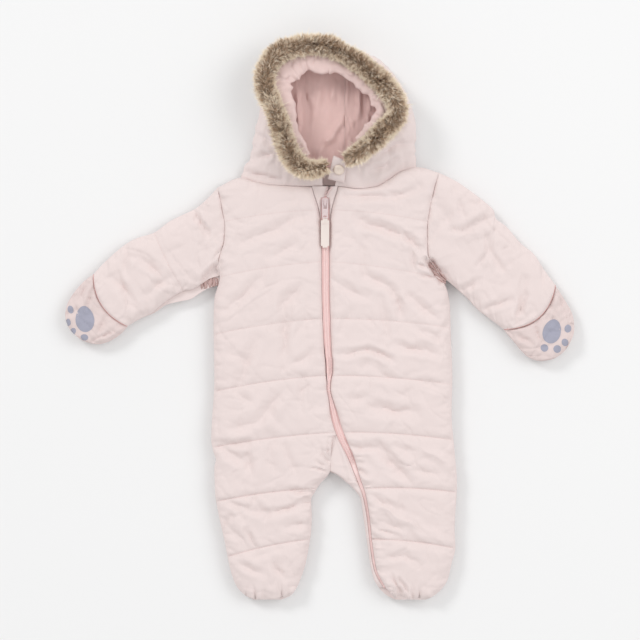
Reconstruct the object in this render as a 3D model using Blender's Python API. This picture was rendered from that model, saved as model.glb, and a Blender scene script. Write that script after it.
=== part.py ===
"""Baby snowsuit, laid flat on its back: padded, quilted one-piece with feet, fold-over
mitts, a fur-trimmed hood and a zip that runs from the neck down one leg.

X runs across the suit, Y from the feet to the hood, Z up from the surface it lies on.
Every cloth piece is a grid of points: rows across the piece, an outer face and an inner
face, closed round its edge. Lengths in the tables are millimetres.
"""
import math

import bmesh
import bpy
import numpy as np

MM = 0.001
SEAM_GAP = 0.3          # clear gap between neighbouring pieces
MIDDLE = 12.5           # height of the layer where front pieces lie on back pieces
EDGE_WALL = 2.6         # wall of a padded piece at its side seams
THIN_WALL = 2.4         # least wall anywhere on a padded piece
BODY_HEIGHT = 27.0      # top of the padding over the chest
LEG_HEIGHT = 26.0       # top of the padding over the legs
SLEEVE_HEIGHT = 25.0
FOOT_HEIGHT = 24.0
QUILT_DEPTH = 3.4       # stitch line below the padding beside it
QUILT_WIDTH = 6.0       # half width of the pinched channel
SIDE_ROLL = 26.0        # how far in from a side seam the padding reaches full height
ZIP_ROLL = 9.0          # the same at the zip edge
ZIP_EDGE = 20.0         # height of a front panel's edge beside the zip
ARMHOLE_EDGE = 19.5     # height of both edges of the armhole seam
CENTRE_BACK = 12.0      # x of the centre-back seam
HEEL_SIDE = -300.0      # y where a sole meets a back at the side seam
HEEL_MIDDLE = -292.0    # the same at the inner leg
GUSSET_TOP = -156.0     # y of the gusset's upper point
SLIDER_Y = 148.0        # y of the middle of the zip's slider
SLIDER_LENGTH = 13.0
SLIDER_WIDTH = 9.0
CHAIN_WIDTH = 5.4       # closed teeth, across
CHAIN_HEIGHT = 2.4
TAPE_HEIGHT = 0.8
GUARD_CLEAR = 0.4       # slider above the tape
CUFF_SHIFT = (-0.5, 0.4)  # brings each mitt up to the cuff that its table is drawn from
ARMHOLE_GAP = 0.6       # sleeve front from the body
BACK_ARMHOLE_GAP = 2.0  # sleeve back from the body
HOOD_SEAM_RIGHT = -17.0  # x of the seams beside the hood's centre strip
HOOD_SEAM_LEFT = 33.0
HOOD_WALL = 7.0         # padded wall of the hood
HOOD_ROLL = 15.0        # how far the hood's side rolls in under it
LINING_WALL = 1.8
LINING_GAP = 0.8        # lining from the wall outside it
NECK_GAP = 1.0          # hood from the neck seam
FUR_HALF_WIDTH = 12.5
FUR_HALF_HEIGHT = 9.5
FACING_HALF_WIDTH = 8.0
FACING_HALF_HEIGHT = 3.6
RUFFLES = 19            # gathers round the facing
TAB_SLOPE = 0.5         # rise of the chin tab along y
TAB_BASE = (172.0, 24.2)  # y, z where the tab starts
TAB_THICK = 3.2
SNAP_AT = (25.0, 190.5)  # x, y of the snap
SNAP_RADIUS = 7.2
SNAP_HEIGHT = 2.4
SLIDER_BASE = 21.7      # z under the slider
SLIDER_TOP = 25.8       # z over the slider
BAIL_WIDTH = 2.6
BAIL_TOP = 30.0         # z over the slider's bail
BAIL_LENGTH = 8.4
BAIL_HOLE_LENGTH = 3.6
BAIL_HOLE_HEIGHT = 2.9
PULL_THICK = 1.5
PULL_AXIS = (148.6, 27.35)  # y, z of the line the pull turns on
LINK_WIDTH = 8.0
LINK_END = 128.0        # y where the link ends
TAG_WIDTH = 11.0
TAG_THICK = 2.0
TAG_END = 90.0          # y where the tag ends


def clear_scene():
    for item in list(bpy.data.objects):
        bpy.data.objects.remove(item)


def material(name, colour, roughness, metallic=0.0):
    made = bpy.data.materials.new(name)
    made.use_nodes = True
    shader = made.node_tree.nodes["Principled BSDF"]
    shader.inputs["Base Color"].default_value = (*colour, 1.0)
    shader.inputs["Roughness"].default_value = roughness
    shader.inputs["Metallic"].default_value = metallic
    return made


def curve(table, at):
    """Smooth value of a (place, value) table at a place, with no overshoot."""
    rows = np.array(sorted(table), dtype=float)
    x, y = rows[:, 0], rows[:, 1]
    step = np.diff(x)
    slope = np.diff(y) / step
    tangent = np.zeros(len(x))
    same = slope[:-1] * slope[1:] > 0
    tangent[1:-1][same] = 2 / (1 / slope[:-1][same] + 1 / slope[1:][same])
    tangent[0] = slope[0]
    tangent[-1] = slope[-1]
    at = np.clip(at, x[0], x[-1])
    i = np.clip(np.searchsorted(x, at) - 1, 0, len(x) - 2)
    t = (at - x[i]) / step[i]
    return ((1 + 2 * t) * (1 - t) ** 2 * y[i] + t * (1 - t) ** 2 * step[i] * tangent[i]
            + t * t * (3 - 2 * t) * y[i + 1] + t * t * (t - 1) * step[i] * tangent[i + 1])


def through(points, count):
    """count points evenly spaced along a smooth line through hand-placed points."""
    points = np.array(points, dtype=float)
    ends = np.vstack([2 * points[0] - points[1], points, 2 * points[-1] - points[-2]])
    fine = []
    for i in range(len(points) - 1):
        p0, p1, p2, p3 = ends[i:i + 4]
        for t in np.linspace(0, 1, 12, endpoint=False):
            fine.append(0.5 * (2 * p1 + (p2 - p0) * t + (2 * p0 - 5 * p1 + 4 * p2 - p3) * t ** 2
                               + (3 * p1 - p0 - 3 * p2 + p3) * t ** 3))
    fine.append(points[-1])
    fine = np.array(fine)
    run = np.concatenate([[0], np.cumsum(np.linalg.norm(np.diff(fine, axis=0), axis=1))])
    want = np.linspace(0, run[-1], count)
    return np.stack([np.interp(want, run, fine[:, k]) for k in range(fine.shape[1])], axis=1)


def rounding(distance, roll):
    """0 at an edge, rising to 1 a roll width in from it, like the side of a cushion."""
    inside = np.clip(distance / roll, 0, 1)
    return np.sqrt(1 - (1 - inside) ** 2)


def segment_distance(x, y, x0, y0, x1, y1):
    """Distance from points to a line from (x0, y0) to (x1, y1), and the place along it."""
    dx, dy = x1 - x0, y1 - y0
    t = np.clip(((x - x0) * dx + (y - y0) * dy) / (dx * dx + dy * dy), 0, 1)
    return np.hypot(x - x0 - t * dx, y - y0 - t * dy), t


# Largest folds: a soft trough (depth above 0) or ridge (below 0) along a line.
# x0, y0, x1, y1, depth, half width
FOLDS = [
    (-17, 132, -106, 94, 2.2, 9), (-25, 39, -47, 18, 3.0, 9), (-47, 18, -44, -62, 3.4, 9),
    (-80, 48, -120, 10, 2.2, 8), (-71, 91, -71, 28, 1.4, 8), (-82, -27, -106, -90, 2.0, 9),
    (-12, -47, -34, -62, 1.8, 8), (-46, -95, -73, -130, 2.2, 9), (-73, -130, -114, -146, 2.0, 9),
    (-22, -79, -22, -122, 1.4, 7), (33, 156, 98, 156, 2.4, 7), (98, 156, 130, 169, 2.0, 7),
    (50, 126, 114, 102, 3.2, 8), (114, 102, 130, 88, 2.6, 7), (117, 86, 122, 60, 2.2, 6),
    (58, 100, 58, 56, 1.6, 7), (58, 56, 94, 34, 2.6, 8), (94, 34, 106, 2, 2.6, 7),
    (18, 48, 58, 26, 2.0, 8), (118, 28, 151, -1, 2.4, 8), (82, 23, 88, -42, 1.6, 7),
    (25, -46, 62, -44, 2.4, 6), (62, -44, 94, -56, 2.6, 6), (100, -38, 152, -46, 2.6, 7),
    (40, -108, 64, -104, 1.8, 7), (68, -117, 124, -125, 3.0, 9), (-128, -168, -92, -192, 2.6, 10),
    (-118, -243, -68, -256, 2.6, 8), (-68, -258, -18, -243, 2.2, 8), (-42, -272, -12, -270, 2.0, 7),
    (-122, -270, -86, -304, 2.6, 8), (37, -167, 74, -168, 2.2, 7), (74, -168, 116, -214, 3.2, 9),
    (134, -168, 174, -200, -1.8, 8), (66, -270, 100, -284, 2.6, 8), (83, -248, 158, -292, -2.2, 8),
    (-160, 136, -150, 120, 4.0, 5), (-249, 86, -251, 54, 1.8, 7), (-232, 78, -200, 50, 2.4, 8),
    (-196, 50, -224, 32, 2.0, 7), (-268, 53, -241, 18, 1.8, 7), (168, 114, 190, 112, 2.2, 7),
    (190, 112, 226, 130, 2.6, 7), (212, 112, 220, 90, 1.8, 6), (220, 90, 240, 58, 1.8, 6),
    (220, 87, 208, 69, 1.6, 6), (214, 9, 248, 24, 2.2, 6), (266, 48, 260, -6, 1.8, 6),
    (141, 96, 168, 134, 1.6, 6), (182, 36, 204, 44, 2.0, 6),
]


def folds(x, y):
    drop = np.zeros(np.shape(x))
    for x0, y0, x1, y1, depth, half in FOLDS:
        away, t = segment_distance(x, y, x0, y0, x1, y1)
        drop += depth * np.exp(-(away / half) ** 2) * (0.55 + 0.45 * np.sin(math.pi * t))
    return drop


def closed_wall(name, outer, inner, finish):
    """A closed piece from two grids of the same shape (rows, columns, xyz in mm)."""
    rows, columns = outer.shape[:2]
    mesh = bmesh.new()
    faces = [[[mesh.verts.new(np.array(point) * MM) for point in row] for row in grid]
             for grid in (outer, inner)]
    top, under = faces
    for r in range(rows - 1):
        for c in range(columns - 1):
            mesh.faces.new((top[r][c], top[r][c + 1], top[r + 1][c + 1], top[r + 1][c]))
            mesh.faces.new((under[r][c], under[r + 1][c], under[r + 1][c + 1], under[r][c + 1]))
    rim = ([(0, c) for c in range(columns)] + [(r, columns - 1) for r in range(1, rows)]
           + [(rows - 1, c) for c in range(columns - 2, -1, -1)]
           + [(r, 0) for r in range(rows - 2, 0, -1)])
    for (r0, c0), (r1, c1) in zip(rim, rim[1:] + rim[:1]):
        mesh.faces.new((top[r0][c0], under[r0][c0], under[r1][c1], top[r1][c1]))
    return finished(name, mesh, finish)


def finished(name, mesh, finish):
    bmesh.ops.recalc_face_normals(mesh, faces=mesh.faces)
    if mesh.calc_volume(signed=True) < 0:
        bmesh.ops.reverse_faces(mesh, faces=mesh.faces)
    data = bpy.data.meshes.new(name)
    mesh.to_mesh(data)
    mesh.free()
    data.shade_smooth()
    data.set_sharp_from_angle(angle=math.radians(50))
    data.materials.append(finish)
    item = bpy.data.objects.new(name, data)
    bpy.context.scene.collection.objects.link(item)
    return item


def edge_distances(grid):
    """In-plane distance of each grid point from the four edges of its own row or column."""
    flat = grid[:, :, :2]
    across = np.linalg.norm(np.diff(flat, axis=1), axis=2)
    along = np.linalg.norm(np.diff(flat, axis=0), axis=2)
    left = np.concatenate([np.zeros((len(flat), 1)), np.cumsum(across, axis=1)], axis=1)
    low = np.concatenate([np.zeros((1, flat.shape[1])), np.cumsum(along, axis=0)], axis=0)
    return left, left[:, -1:] - left, low, low[-1:] - low


def padded(plan, full, edges, dips):
    """Outer height of a padded piece: its full height, rolled down at each edge.

    edges holds (height at the edge, roll width) for the row start, the row end, the first
    row and the last row; either may be an array down the rows."""
    drop = np.zeros(plan.shape[:2])
    for away, (height, roll) in zip(edge_distances(plan), edges):
        drop += (np.maximum(full - height, 0) * (1 - rounding(away, roll))) ** 3
    return full - np.cbrt(drop) - dips


# Outlines of the body and legs, seen from above. "right" is the wearer's right, at -X.
# y, x of the outer side: armhole, side seam, leg and foot
RIGHT_SIDE = [(169, -132), (142, -127), (116, -123), (99, -124), (72, -131), (53, -130), (22, -137),
              (-9, -138), (-82, -137), (-160, -141), (-176, -138), (-186, -135), (-196, -137),
              (-228, -136), (-259, -131), (-290, -124), (-321, -118), (-342, -112), (-352, -107),
              (-363, -96), (-368, -86)]
LEFT_SIDE = [(188, 155), (144, 144), (112, 140), (81, 141), (66, 150), (43, 163), (32, 167),
             (12, 170), (-20, 171), (-82, 173), (-124, 172), (-176, 176), (-217, 179), (-277, 176),
             (-300, 177), (-321, 172), (-342, 167), (-352, 161), (-363, 149), (-368, 138)]
# y, x of the inner leg, from the crotch down
RIGHT_INNER_LEG = [(-155, 18), (-179, 15), (-200, 14), (-207, 10), (-217, 1), (-228, -6), (-238, -11),
                   (-259, -10), (-280, -11), (-300, -14), (-321, -18), (-342, -25), (-355, -31),
                   (-363, -38), (-368, -50)]
LEFT_INNER_LEG = [(-203, 19), (-207, 25), (-217, 37), (-228, 48), (-238, 54), (-259, 57), (-280, 60),
                  (-300, 63), (-321, 66), (-342, 71), (-352, 77), (-363, 88), (-368, 98)]
# y, x of the middle of the zip, and y, half width of the opening that it closes
ZIP_CENTRE = [(170, 7), (127, 7.5), (90, 8), (44, 8), (-1, 9), (-45, 11), (-64, 12.5), (-91, 12),
              (-113, 16), (-136, 21.5), (-155, 28), (-182, 40.5), (-209, 50.5), (-233, 60),
              (-264, 66.5), (-294, 70.5), (-328, 75.5), (-352.2, 85.5)]
ZIP_HALF = [(170, 17), (127, 6.2), (90, 5), (-352.2, 5)]
ZIP_BED = [(170, 20), (-140, 20), (-200, 16.4), (-352.2, 16.4)]
# y at the side, y at the middle of the body: toe, the seven quilting lines, then the neck
LINES_AT_MIDDLE = (-368, -289, -223, -150, -76, -2, 72, 139, 170)
LINES_AT_RIGHT_SIDE = (-368, -312, -240, -170, -97, -23, 52, 124, 169)
LINES_AT_LEFT_SIDE = (-368, -301, -228, -160, -88, -14, 50, 124, 188)
LINE_BOW = 3.0
# x, y along the shoulder seam, then the neck seam
RIGHT_TOP = [(-132, 169), (-103, 181), (-84, 176), (-63, 172), (-10, 170), (12, 170)]
LEFT_TOP = [(155, 188), (129, 195), (108, 190), (89, 178), (74, 170), (50, 167), (24, 170), (12, 170)]
BAND_ROWS = (0, 0.09, 0.34, 0.66, 0.91)
BACK_ROWS = (0, 0.35, 0.7)
TOE_ROWS = (0, 0.03, 0.09, 0.2, 0.38, 0.64, 0.9)
COLUMNS = (0, 0.014, 0.05, 0.11, 0.2, 0.31, 0.43, 0.56, 0.69, 0.81, 0.9, 0.96, 1)


def row_heights():
    """y at the middle of the body of every row of a front panel, toe to neck."""
    heights = []
    for band, (low, high) in enumerate(zip(LINES_AT_MIDDLE, LINES_AT_MIDDLE[1:])):
        heights += [low + t * (high - low) for t in (TOE_ROWS if band == 0 else BAND_ROWS)]
    return heights + [LINES_AT_MIDDLE[-1]]


SHARED_Y = row_heights()
ZIP_BOTTOM = SHARED_Y[3]


def zip_middle(y):
    """Middle of the zip, straight between the rows that the pieces beside it share."""
    return np.interp(y, SHARED_Y, curve(ZIP_CENTRE, SHARED_Y))


def zip_edge(y, side):
    return zip_middle(y) + side * np.interp(y, SHARED_Y, curve(ZIP_HALF, SHARED_Y))


def body_rows(lines, top, columns, band_rows, toe_rows, side_x, middle_x):
    """Plan of a body and leg piece: rows that run along its quilting lines.

    Gives the points and each row's distance from the nearest quilting line."""
    share = np.array(columns)
    plan, from_line = [], []
    last = len(lines) - 2
    for band, (low, high) in enumerate(zip(lines, lines[1:])):
        steps = toe_rows if band == 0 else band_rows
        if band == last:
            steps = (*steps, 1)
        length = (high[0] + high[1] - low[0] - low[1]) / 2
        for t in steps:
            side_y = low[0] + t * (high[0] - low[0])
            middle_y = low[1] + t * (high[1] - low[1])
            y = side_y + (middle_y - side_y) * share
            x = side_x(side_y) + (middle_x(middle_y) - side_x(side_y)) * share
            if band == last:
                top_x = side_x(high[0]) + (middle_x(high[1]) - side_x(high[0])) * share
                y = y + t * (curve(top, top_x) - high[0] - (high[1] - high[0]) * share)
            bow = LINE_BOW * 4 * share * (1 - share)
            y = y + bow * (t if band == 0 else 1 - t if band == last else 1)
            plan.append(np.stack([x, y], axis=1))
            down = 1e3 if band == 0 else t * length
            up = 1e3 if band == last else (1 - t) * length
            from_line.append(min(down, up))
    return np.array(plan), np.array(from_line)


def with_height(plan, height):
    return np.dstack([plan, np.broadcast_to(height, plan.shape[:2])])


def front_panel(name, lines, top, side, middle_x, middle_edge, side_edge, finish):
    plan, from_line = body_rows(lines, top, COLUMNS, BAND_ROWS, TOE_ROWS,
                                lambda y: curve(side, y), middle_x)
    y = plan[:, :, 1]
    full = curve([(-368, FOOT_HEIGHT), (-300, LEG_HEIGHT), (-150, LEG_HEIGHT),
                  (0, BODY_HEIGHT), (190, BODY_HEIGHT)], y)
    middle_heights, middle_rolls = middle_edge
    side_heights, side_rolls = side_edge
    first, last = y[:, :1], y[:, -1:]
    neck = np.where(np.array(COLUMNS) < 0.22, MIDDLE + EDGE_WALL, 19.0)
    edges = [(curve(side_heights, first), curve(side_rolls, first)),
             (curve(middle_heights, last), curve(middle_rolls, last)),
             (MIDDLE + EDGE_WALL, 20.0), (neck[None, :], 15.0)]
    left, right, low, high = edge_distances(plan)
    inside = rounding(np.minimum(left, right), 12) * rounding(np.minimum(low, high), 12)
    channel = QUILT_DEPTH * np.exp(-(from_line / QUILT_WIDTH) ** 2)[:, None]
    dips = inside * (channel + folds(plan[:, :, 0], y))
    under = MIDDLE + SEAM_GAP / 2
    outer = np.maximum(padded(plan, full, edges, dips), under + THIN_WALL)
    return closed_wall(name, with_height(plan, outer), with_height(plan, under), finish)


def back_panel(name, lines, top, side, middle_x, foot, finish):
    """Back of the body and leg above the heel seam, or the sole below it."""
    columns = (0, 0.04, 0.12, 0.2, 0.31, 0.43, 0.56, 0.69, 0.84, 0.96, 1)
    plan, _ = body_rows(lines, top, columns, BACK_ROWS, (0, 0.04, 0.12, 0.3, 0.65),
                        lambda y: curve(side, y), middle_x)
    heel = [curve([(0, HEEL_SIDE), (1, HEEL_MIDDLE)], share) for share in columns]
    keep = []
    for row in plan:
        above = row[:, 1] > np.array(heel) + SEAM_GAP
        if foot and not above.any() or not foot and above.all():
            keep.append(row)
    seam = np.stack([[curve(side, HEEL_SIDE) * (1 - share) + middle_x(HEEL_MIDDLE) * share
                      for share in columns], heel], axis=1)
    keep.sort(key=lambda row: row[0, 1])
    if foot:
        keep.append(seam - [0, SEAM_GAP / 2])
    else:
        keep.insert(0, seam + [0, SEAM_GAP / 2])
    plan = np.array(keep)
    left, right, low, high = edge_distances(plan)
    outline = np.minimum(left, low) if foot else left
    y = plan[:, :, 1]
    if foot:
        outline = np.minimum(outline, right)
    else:
        outline = np.where(y < -195, np.minimum(outline, right), outline)
        outline = np.minimum(outline, high + 4)
    lift = (MIDDLE - EDGE_WALL) * (1 - rounding(outline, 15))
    over = MIDDLE - SEAM_GAP / 2
    return closed_wall(name, with_height(plan, over), with_height(plan, lift), finish)


def make_body(shell):
    """Two fronts, two backs and two soles, 0.3 mm apart at their seams."""
    half = SEAM_GAP / 2
    armhole = [(188, ARMHOLE_EDGE), (80, ARMHOLE_EDGE), (45, MIDDLE + EDGE_WALL),
               (-368, MIDDLE + EDGE_WALL)]
    armhole_roll = [(188, 14), (80, 14), (45, SIDE_ROLL), (-368, SIDE_ROLL)]

    def right_middle(y):
        return curve(RIGHT_INNER_LEG, y) if y < -155 else zip_edge(y, -1) - half

    def left_middle(y):
        return zip_edge(y, 1) + half if y >= ZIP_BOTTOM else left_toe(y)

    def left_toe(y):
        return curve([(ZIP_BOTTOM, zip_edge(ZIP_BOTTOM, 1) + half), (-368, 100)], y)

    right_lines = list(zip(LINES_AT_RIGHT_SIDE, LINES_AT_MIDDLE))
    left_lines = list(zip(LINES_AT_LEFT_SIDE, LINES_AT_MIDDLE))
    front_panel("front_right", right_lines, RIGHT_TOP, RIGHT_SIDE, right_middle,
                ([(170, ZIP_EDGE), (-140, ZIP_EDGE), (-200, MIDDLE + EDGE_WALL),
                  (-368, MIDDLE + EDGE_WALL)],
                 [(170, ZIP_ROLL), (-140, ZIP_ROLL), (-215, 22), (-368, 22)]),
                (armhole, armhole_roll), shell)
    front_panel("front_left", left_lines, LEFT_TOP, LEFT_SIDE, left_middle,
                ([(170, ZIP_EDGE), (-140, ZIP_EDGE), (-200, 17.5), (-340, 17.5),
                  (-368, MIDDLE + EDGE_WALL)],
                 [(170, ZIP_ROLL), (-140, ZIP_ROLL), (-215, 16), (-368, 16)]),
                (armhole, armhole_roll), shell)
    for side_name, lines, top, side, inner, sign in (
            ("right", right_lines, RIGHT_TOP, RIGHT_SIDE, RIGHT_INNER_LEG, -1),
            ("left", left_lines, LEFT_TOP, LEFT_SIDE, LEFT_INNER_LEG, 1)):
        def middle(y, inner=inner, sign=sign):
            seam = CENTRE_BACK + sign * half
            if y > -203:
                return seam
            leg = curve(inner, y)
            return min(leg, seam) if sign < 0 else max(leg, seam)
        for piece, foot in (("back", False), ("sole", True)):
            back_panel(f"{piece}_{side_name}", lines, top, side, middle, foot, shell)


GUSSET_LEFT = [(-156, 18), (-179, 15), (-200, 15), (-203, 19), (-207, 25), (-217, 37),
               (-228, 48), (-238, 54), (-259, 57), (-280, 60), (-300, 63), (-321, 66),
               (-342, 71), (-352.2, 77)]
CROTCH_ROWS = (-246, -238, -231, -211, -207, -203.5, -186, -166)


def strip_rows(rows, left_x, right_x, columns):
    return np.array([[(left_x(y) + (right_x(y) - left_x(y)) * share, y) for share in columns]
                     for y in rows], dtype=float)


def gusset_left(y):
    """The crotch seam, straight between the front panel's rows, then the inner leg's outline."""
    if y > -200:
        return np.interp(y, SHARED_Y, curve(RIGHT_INNER_LEG, SHARED_Y)) + SEAM_GAP
    return curve(GUSSET_LEFT, y) + SEAM_GAP


def make_gusset(shell):
    """Three-cornered crotch gusset that runs on as a narrow strip inside the zipped leg."""
    half = SEAM_GAP / 2
    rows = sorted(set([y for y in SHARED_Y if ZIP_BOTTOM <= y < GUSSET_TOP]) | set(CROTCH_ROWS)
                  | {GUSSET_TOP})
    plan = strip_rows(rows, gusset_left,
                      lambda y: zip_edge(y, -1) - half, (0, 0.06, 0.2, 0.45, 0.72, 0.92, 1))
    y = plan[:, :, 1]
    edges = [(MIDDLE + EDGE_WALL, 9.0), (17.5, 6.0), (MIDDLE + EDGE_WALL, 8.0), (17.5, 6.0)]
    gathers = 1.2 * np.exp(-((plan[:, :, 0] - 30 + (y + 190) * 0.3) / 3) ** 2)
    under = MIDDLE + half
    outer = np.maximum(padded(plan, 21.0, edges, gathers), under + THIN_WALL)
    closed_wall("crotch_gusset", with_height(plan, outer), with_height(plan, under), shell)


def zip_strip(name, rows, left_x, right_x, low, high, finish, crown=0.0):
    """A strip along the zip, crowned by an amount in the middle of its width."""
    columns = (0, 0.25, 0.5, 0.75, 1)
    plan = strip_rows(rows, left_x, right_x, columns)
    bed = curve(ZIP_BED, plan[:, :, 1])
    share = np.array(columns)
    top = bed + high + crown * (4 * share * (1 - share) - 1)
    under = MIDDLE + SEAM_GAP if low is None else bed + low
    closed_wall(name, with_height(plan, top), with_height(plan, under), finish)


def make_zip(pink, coil):
    """Both tapes on their guard strip, and the closed coil along them."""
    rows = [y for y in SHARED_Y if y >= ZIP_BOTTOM]
    zip_strip("zip_tape", rows, lambda y: zip_edge(y, -1) + GUARD_CLEAR,
              lambda y: zip_edge(y, 1) - GUARD_CLEAR, None, TAPE_HEIGHT, pink)
    chain_top = SLIDER_Y - SLIDER_LENGTH / 2 - SEAM_GAP
    low = TAPE_HEIGHT + SEAM_GAP
    zip_strip("zip_chain", [y for y in rows if y < chain_top] + [chain_top],
              lambda y: zip_middle(y) - CHAIN_WIDTH / 2,
              lambda y: zip_middle(y) + CHAIN_WIDTH / 2,
              low, low + CHAIN_HEIGHT, coil, crown=0.7)


# Sleeves and mitts: rows across the limb, from the armhole or the cuff towards the hand.
# upper end x, y; lower end x, y; bow towards the hand
ROW_SLEEVE_FRONT_RIGHT = [
    (-132, 169, -130, 54, 0), (-145, 155, -143, 50, 0), (-160, 142, -152, 44, -2),
    (-176, 134, -161, 38, -2), (-196, 124, -169, 35, 0), (-215, 110, -177, 34, 2),
    (-237, 103, -190, 27, 2), (-252, 95, -203, 18, 3), (-267, 83, -219, 5, 6),
    (-282, 69, -235, -3, 9), (-294, 56, -250, -12, 13)]
ROW_SLEEVE_BACK_RIGHT = [
    (-132, 169, -133, 42, 0), (-145, 155, -148, 36, 0), (-160, 142, -159, 29, -2),
    (-176, 134, -169, 23, -2), (-196, 124, -184, 20, 0), (-215, 110, -199, 16, 0),
    (-237, 103, -207, 11, 2), (-252, 95, -216, 5, 3), (-267, 83, -226, 1, 6),
    (-282, 69, -237, -4, 9), (-294, 56, -250, -12, 12)]
ROW_SLEEVE_LEFT = [
    (155, 188, 150, 67, 0), (176, 178, 163, 51, 0), (194, 166, 174, 41, 0),
    (210, 154, 184, 32, 2), (226, 140, 193, 24, 3), (230, 128, 200, 16, 4),
    (244, 117, 208, 8, 4), (262, 96, 216, 2, 6), (279, 82, 224, -4, 9),
    (293, 61, 232, -10, 13), (307, 42, 240, -16, 18)]
ROW_MITT_RIGHT = [
    (-295, 55, -251, -13, 13), (-305, 48, -258, -21, 14), (-314, 39, -267, -28, 13),
    (-324, 26, -279, -34, 11), (-330, 14, -291, -36, 8), (-332, 2, -305, -33, 5),
    (-330, -8, -317, -25, 2)]
ROW_MITT_LEFT = [
    (308, 40, 241, -17, 18), (315, 30, 248, -26, 17), (323, 17, 256, -35, 15),
    (329, 6, 264, -45, 12), (332, -6, 273, -53, 9), (332, -22, 287, -58, 6),
    (326, -36, 303, -56, 3)]
LIMB_COLUMNS = (0, 0.025, 0.09, 0.2, 0.35, 0.5, 0.65, 0.8, 0.91, 0.975, 1)
LIMB_BACK_COLUMNS = (0, 0.05, 0.16, 0.38, 0.62, 0.84, 0.95, 1)


def side_polyline(lines, side, rows):
    """The body's outer edge as its rows draw it, straight between them."""
    heights = []
    for low, high in zip(lines[1:], lines[2:]):
        heights += [low + t * (high - low) for t in rows]
    heights.append(lines[-1])
    return heights, [curve(side, y) for y in heights]


def limb_plan(rows, columns, places, hand, seam=None, seam_gap=ARMHOLE_GAP):
    """Plan of a sleeve or mitt piece, read off smooth lines through its rows."""
    share = np.array(columns)
    control = []
    for upper_x, upper_y, lower_x, lower_y, bow in rows:
        start, end = np.array([upper_x, upper_y]), np.array([lower_x, lower_y])
        run = end - start
        towards_hand = hand * np.array([-run[1], run[0]]) / np.linalg.norm(run)
        control.append(start + run * share[:, None]
                       + towards_hand * (bow * 4 * share * (1 - share))[:, None])
    if seam:
        heights, edge = seam
        y = control[0][:, 1]
        control[0][:, 0] = np.interp(y, heights, edge) + hand * seam_gap
    control = np.array(control)
    ends = np.concatenate([2 * control[:1] - control[1:2], control,
                           2 * control[-1:] - control[-2:-1]])
    plan = []
    for place in places:
        i = min(int(place), len(control) - 2)
        t = place - i
        p0, p1, p2, p3 = ends[i:i + 4]
        plan.append(0.5 * (2 * p1 + (p2 - p0) * t + (2 * p0 - 5 * p1 + 4 * p2 - p3) * t ** 2
                           + (3 * p1 - p0 - 3 * p2 + p3) * t ** 3))
    return np.array(plan)


def sleeve_places(quilt):
    steps = [0, 0.12, 0.4, 0.8, 1.3, 1.9, 2.6, 3.4, 4.1, quilt - 0.32, quilt, quilt + 0.32,
             5.9, 6.6, 7.3, 8.0, 8.7, 9.3, 9.7, 9.92, 10]
    return sorted(steps)


def limb_front(name, plan, full, ends, quilt_rows, finish):
    """Upper layer of a sleeve or mitt. ends gives the heights and rolls of its two ends."""
    side = (MIDDLE + EDGE_WALL, SIDE_ROLL)
    edges = [side, side, ends[0], ends[1]]
    left, right, low, high = edge_distances(plan)
    inside = rounding(np.minimum(left, right), 12) * rounding(np.minimum(low, high), 10)
    dips = folds(plan[:, :, 0], plan[:, :, 1])
    for row in quilt_rows:
        away = np.linalg.norm(plan - plan[row], axis=2)
        dips = dips + QUILT_DEPTH * 0.7 * np.exp(-(away / QUILT_WIDTH) ** 2)
    under = MIDDLE + SEAM_GAP / 2
    outer = np.maximum(padded(plan, full, edges, inside * dips), under + THIN_WALL)
    closed_wall(name, with_height(plan, outer), with_height(plan, under), finish)


def limb_back(name, plan, closed_tip, finish):
    left, right, low, high = edge_distances(plan)
    outline = np.minimum(left, right)
    if closed_tip:
        outline = np.minimum(outline, high)
    lift = (MIDDLE - EDGE_WALL) * (1 - rounding(outline, 15))
    over = MIDDLE - SEAM_GAP / 2
    closed_wall(name, with_height(plan, over), with_height(plan, lift), finish)


def make_sleeves(shell, mitt_cloth):
    """Front and back of each sleeve, and the fold-over mitt past its cuff."""
    back_places = (0, 0.5, 1.2, 2, 3, 4, 5, 6, 7, 8, 9, 10)
    mitt_places = (0, 0.15, 0.5, 1.1, 1.8, 2.6, 3.4, 4.2, 5.0, 5.6, 6)
    mitt_back_places = (0, 1, 2, 3, 4, 5, 5.6, 6)
    sleeves = (
        ("right", -1, ROW_SLEEVE_FRONT_RIGHT, ROW_SLEEVE_BACK_RIGHT, ROW_MITT_RIGHT, 5.0,
         LINES_AT_RIGHT_SIDE, RIGHT_SIDE),
        ("left", 1, ROW_SLEEVE_LEFT, ROW_SLEEVE_LEFT, ROW_MITT_LEFT, 5.0,
         LINES_AT_LEFT_SIDE, LEFT_SIDE))
    for side_name, hand, front, back, mitt, quilt, lines, side in sleeves:
        places = sleeve_places(quilt)
        plan = limb_plan(front, LIMB_COLUMNS, places, hand, side_polyline(lines, side, BAND_ROWS))
        limb_front(f"sleeve_front_{side_name}", plan, SLEEVE_HEIGHT,
                   ((ARMHOLE_EDGE, 14.0), (20.5, 5.0)), [places.index(quilt)], shell)
        plan = limb_plan(back, LIMB_BACK_COLUMNS, back_places, hand,
                         side_polyline(lines, side, BACK_ROWS), BACK_ARMHOLE_GAP)
        limb_back(f"sleeve_back_{side_name}", plan, False, shell)
        for piece, columns, rows in (("front", LIMB_COLUMNS, mitt_places),
                                     ("back", LIMB_BACK_COLUMNS, mitt_back_places)):
            plan = limb_plan(mitt, columns, rows, hand)
            plan = plan + [hand * CUFF_SHIFT[0], CUFF_SHIFT[1]]
            if piece == "front":
                limb_front(f"mitt_front_{side_name}", plan, 21.5,
                           ((17.5, 6.0), (MIDDLE + EDGE_WALL, 16.0)), [], mitt_cloth)
            else:
                limb_back(f"mitt_back_{side_name}", plan, True, mitt_cloth)


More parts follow.
